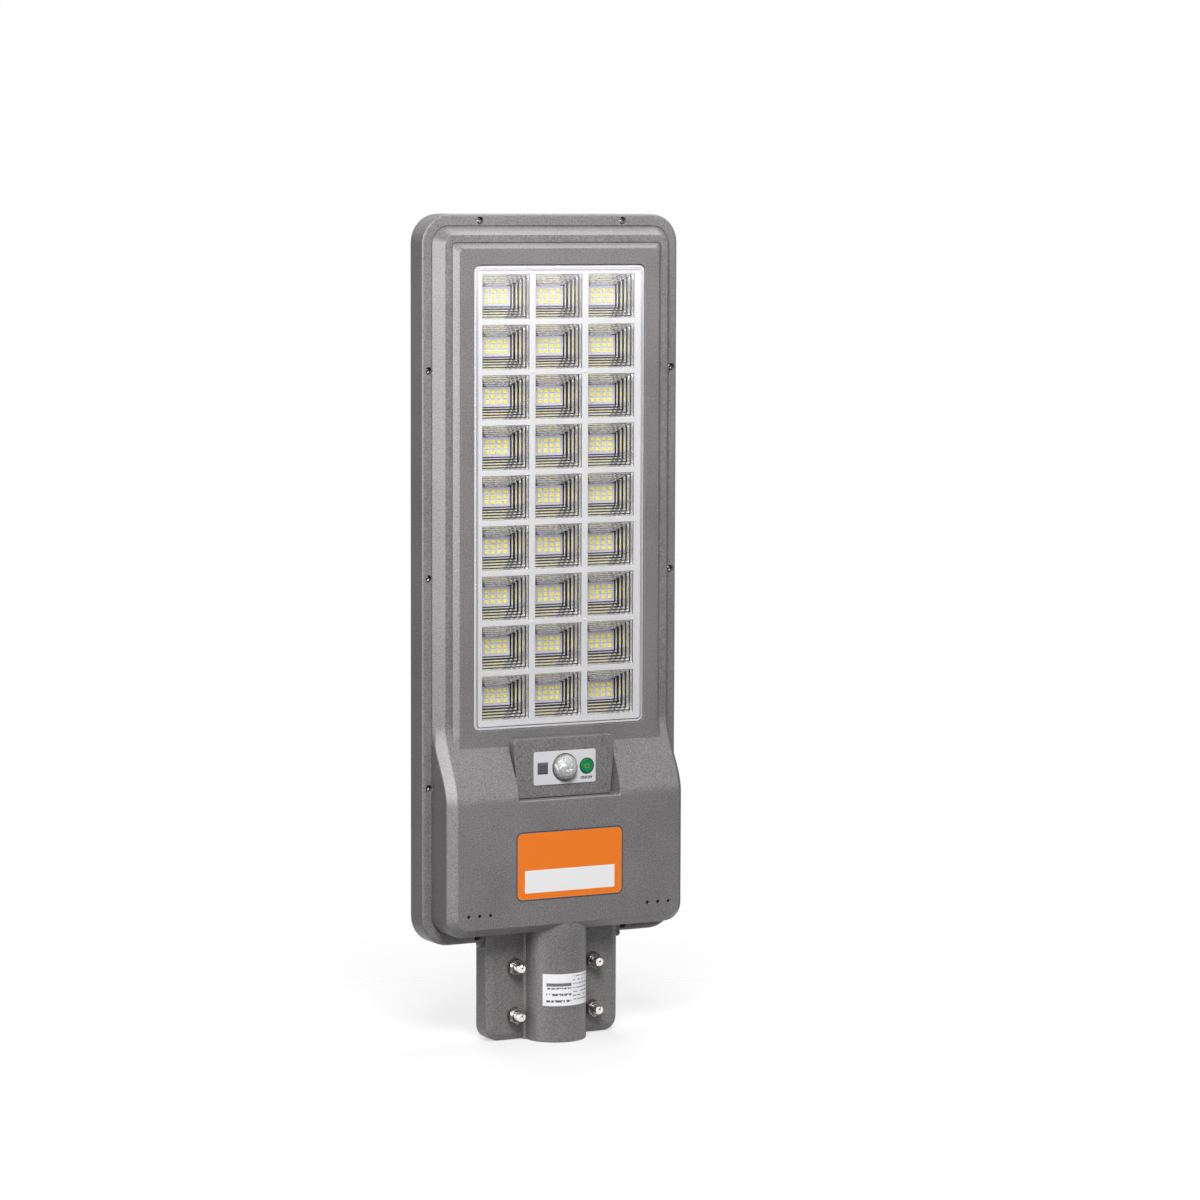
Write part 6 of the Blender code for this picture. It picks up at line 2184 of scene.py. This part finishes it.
    def nuts(self) -> None:
        """Model the four nuts with chamfered corners."""
        nodes = [f"clamp_nut_{number}" for number in BOLTS]
        low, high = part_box(nodes[0])
        height, reach, chamfer = high.y - low.y, self.nut_flats / math.sqrt(3), self.nut_chamfer
        nut = lofted("nut", [round_ring(reach, y, sides=6, turn=math.pi / 6) for y in (0.0, height)])
        end, wide = [reach * share for share in self.nut_cone]
        cone = turned("cone", [(end, -0.0001), (wide, chamfer), (wide, height - chamfer),
                               (end, height + 0.0001)], sides=48)
        carve(nut, [cone], "INTERSECT")
        mouth, bore = self.nut_bore
        carve(nut, [turned("bore", [(mouth, -SPARE), (mouth, 0.0), (bore, self.nut_bore_depth),
                                    (bore, height + SPARE)])])
        polish(nut, finish(Look.NUT))
        places = upright(bolt_places(), low.y)
        register(self.repeater.at_places("clamp_nuts", nut, places, finish(Look.NUT)), Slot.STEEL, *nodes)

    def washers(self) -> None:
        """Model the four flat washers with rolled edges."""
        nodes = [f"flat_washer_{number}" for number in BOLTS]
        low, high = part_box(nodes[0])
        radius, depth, edge = (high.x - low.x) / 2, high.y - low.y, self.washer_round
        mouth, bore = self.washer_bore
        profile = [(mouth, 0.0), (radius - edge, 0.0), (radius, edge), (radius, depth - edge),
                   (radius - edge, depth), (mouth, depth), (bore, depth / 2)]
        washer = turned("washer", profile, sides=40, capped=False)
        places = upright(bolt_places(), low.y)
        washers = self.repeater.at_places("flat_washers", washer, places, finish(Look.STEEL))
        register(washers, Slot.STEEL, *nodes, body=Body.CLAMP)

    def build(self) -> None:
        """Model the clamp."""
        self.saddle()
        self.nuts()
        self.washers()
        for number in BOLTS:
            self.bolt(number)


# Solids that keep their shape


def dress_solids(nodes: dict[str, Item]) -> None:
    """Give every solid that keeps its own shape its finish.

    Args:
        nodes: The frame's solids by name.
    """
    looks = {
        Look.GLASS: ("panel_glass",), Look.CELL: ("cell_string",), Look.BOARD: ("led_board",),
        Look.WHITE: ("panel_backsheet", "lens_seal"), Look.RUBBER: ("housing_seal", "panel_seal"),
        Look.BLACK: ("panel_terminal", "battery_tray", "push_switch", "panel_lead"),
        Look.STEEL: ("motion_sensor",), Look.CIRCUIT: ("sensor_board", "bms_board", "controller_board"),
        Look.LEAD: ("battery_lead", "led_lead"),
        Look.SLEEVE: tuple(f"battery_cell_{number}" for number in range(1, 7)),
    }
    for look, names in looks.items():
        for name in names:
            nodes[name].data.materials.clear()
            nodes[name].data.materials.append(finish(look))
            log.info("%s keeps its shape and gets %s", name, look.value.name)


def main() -> None:
    """Dress the lamp."""
    logging.basicConfig(level=logging.INFO, format="%(name)s: %(message)s")
    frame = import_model()
    Stage().build()
    dress_solids(frame["nodes"])
    repeater = Repeater()
    housing = Housing(repeater)
    housing.build()
    RearFrame().build()
    LightUnit(repeater).build()
    SensorUnit().build()
    Labels(housing.hood_y, housing.bulge_radius).build()
    PoleClamp(repeater).build()


if __name__ == "__main__":
    main()
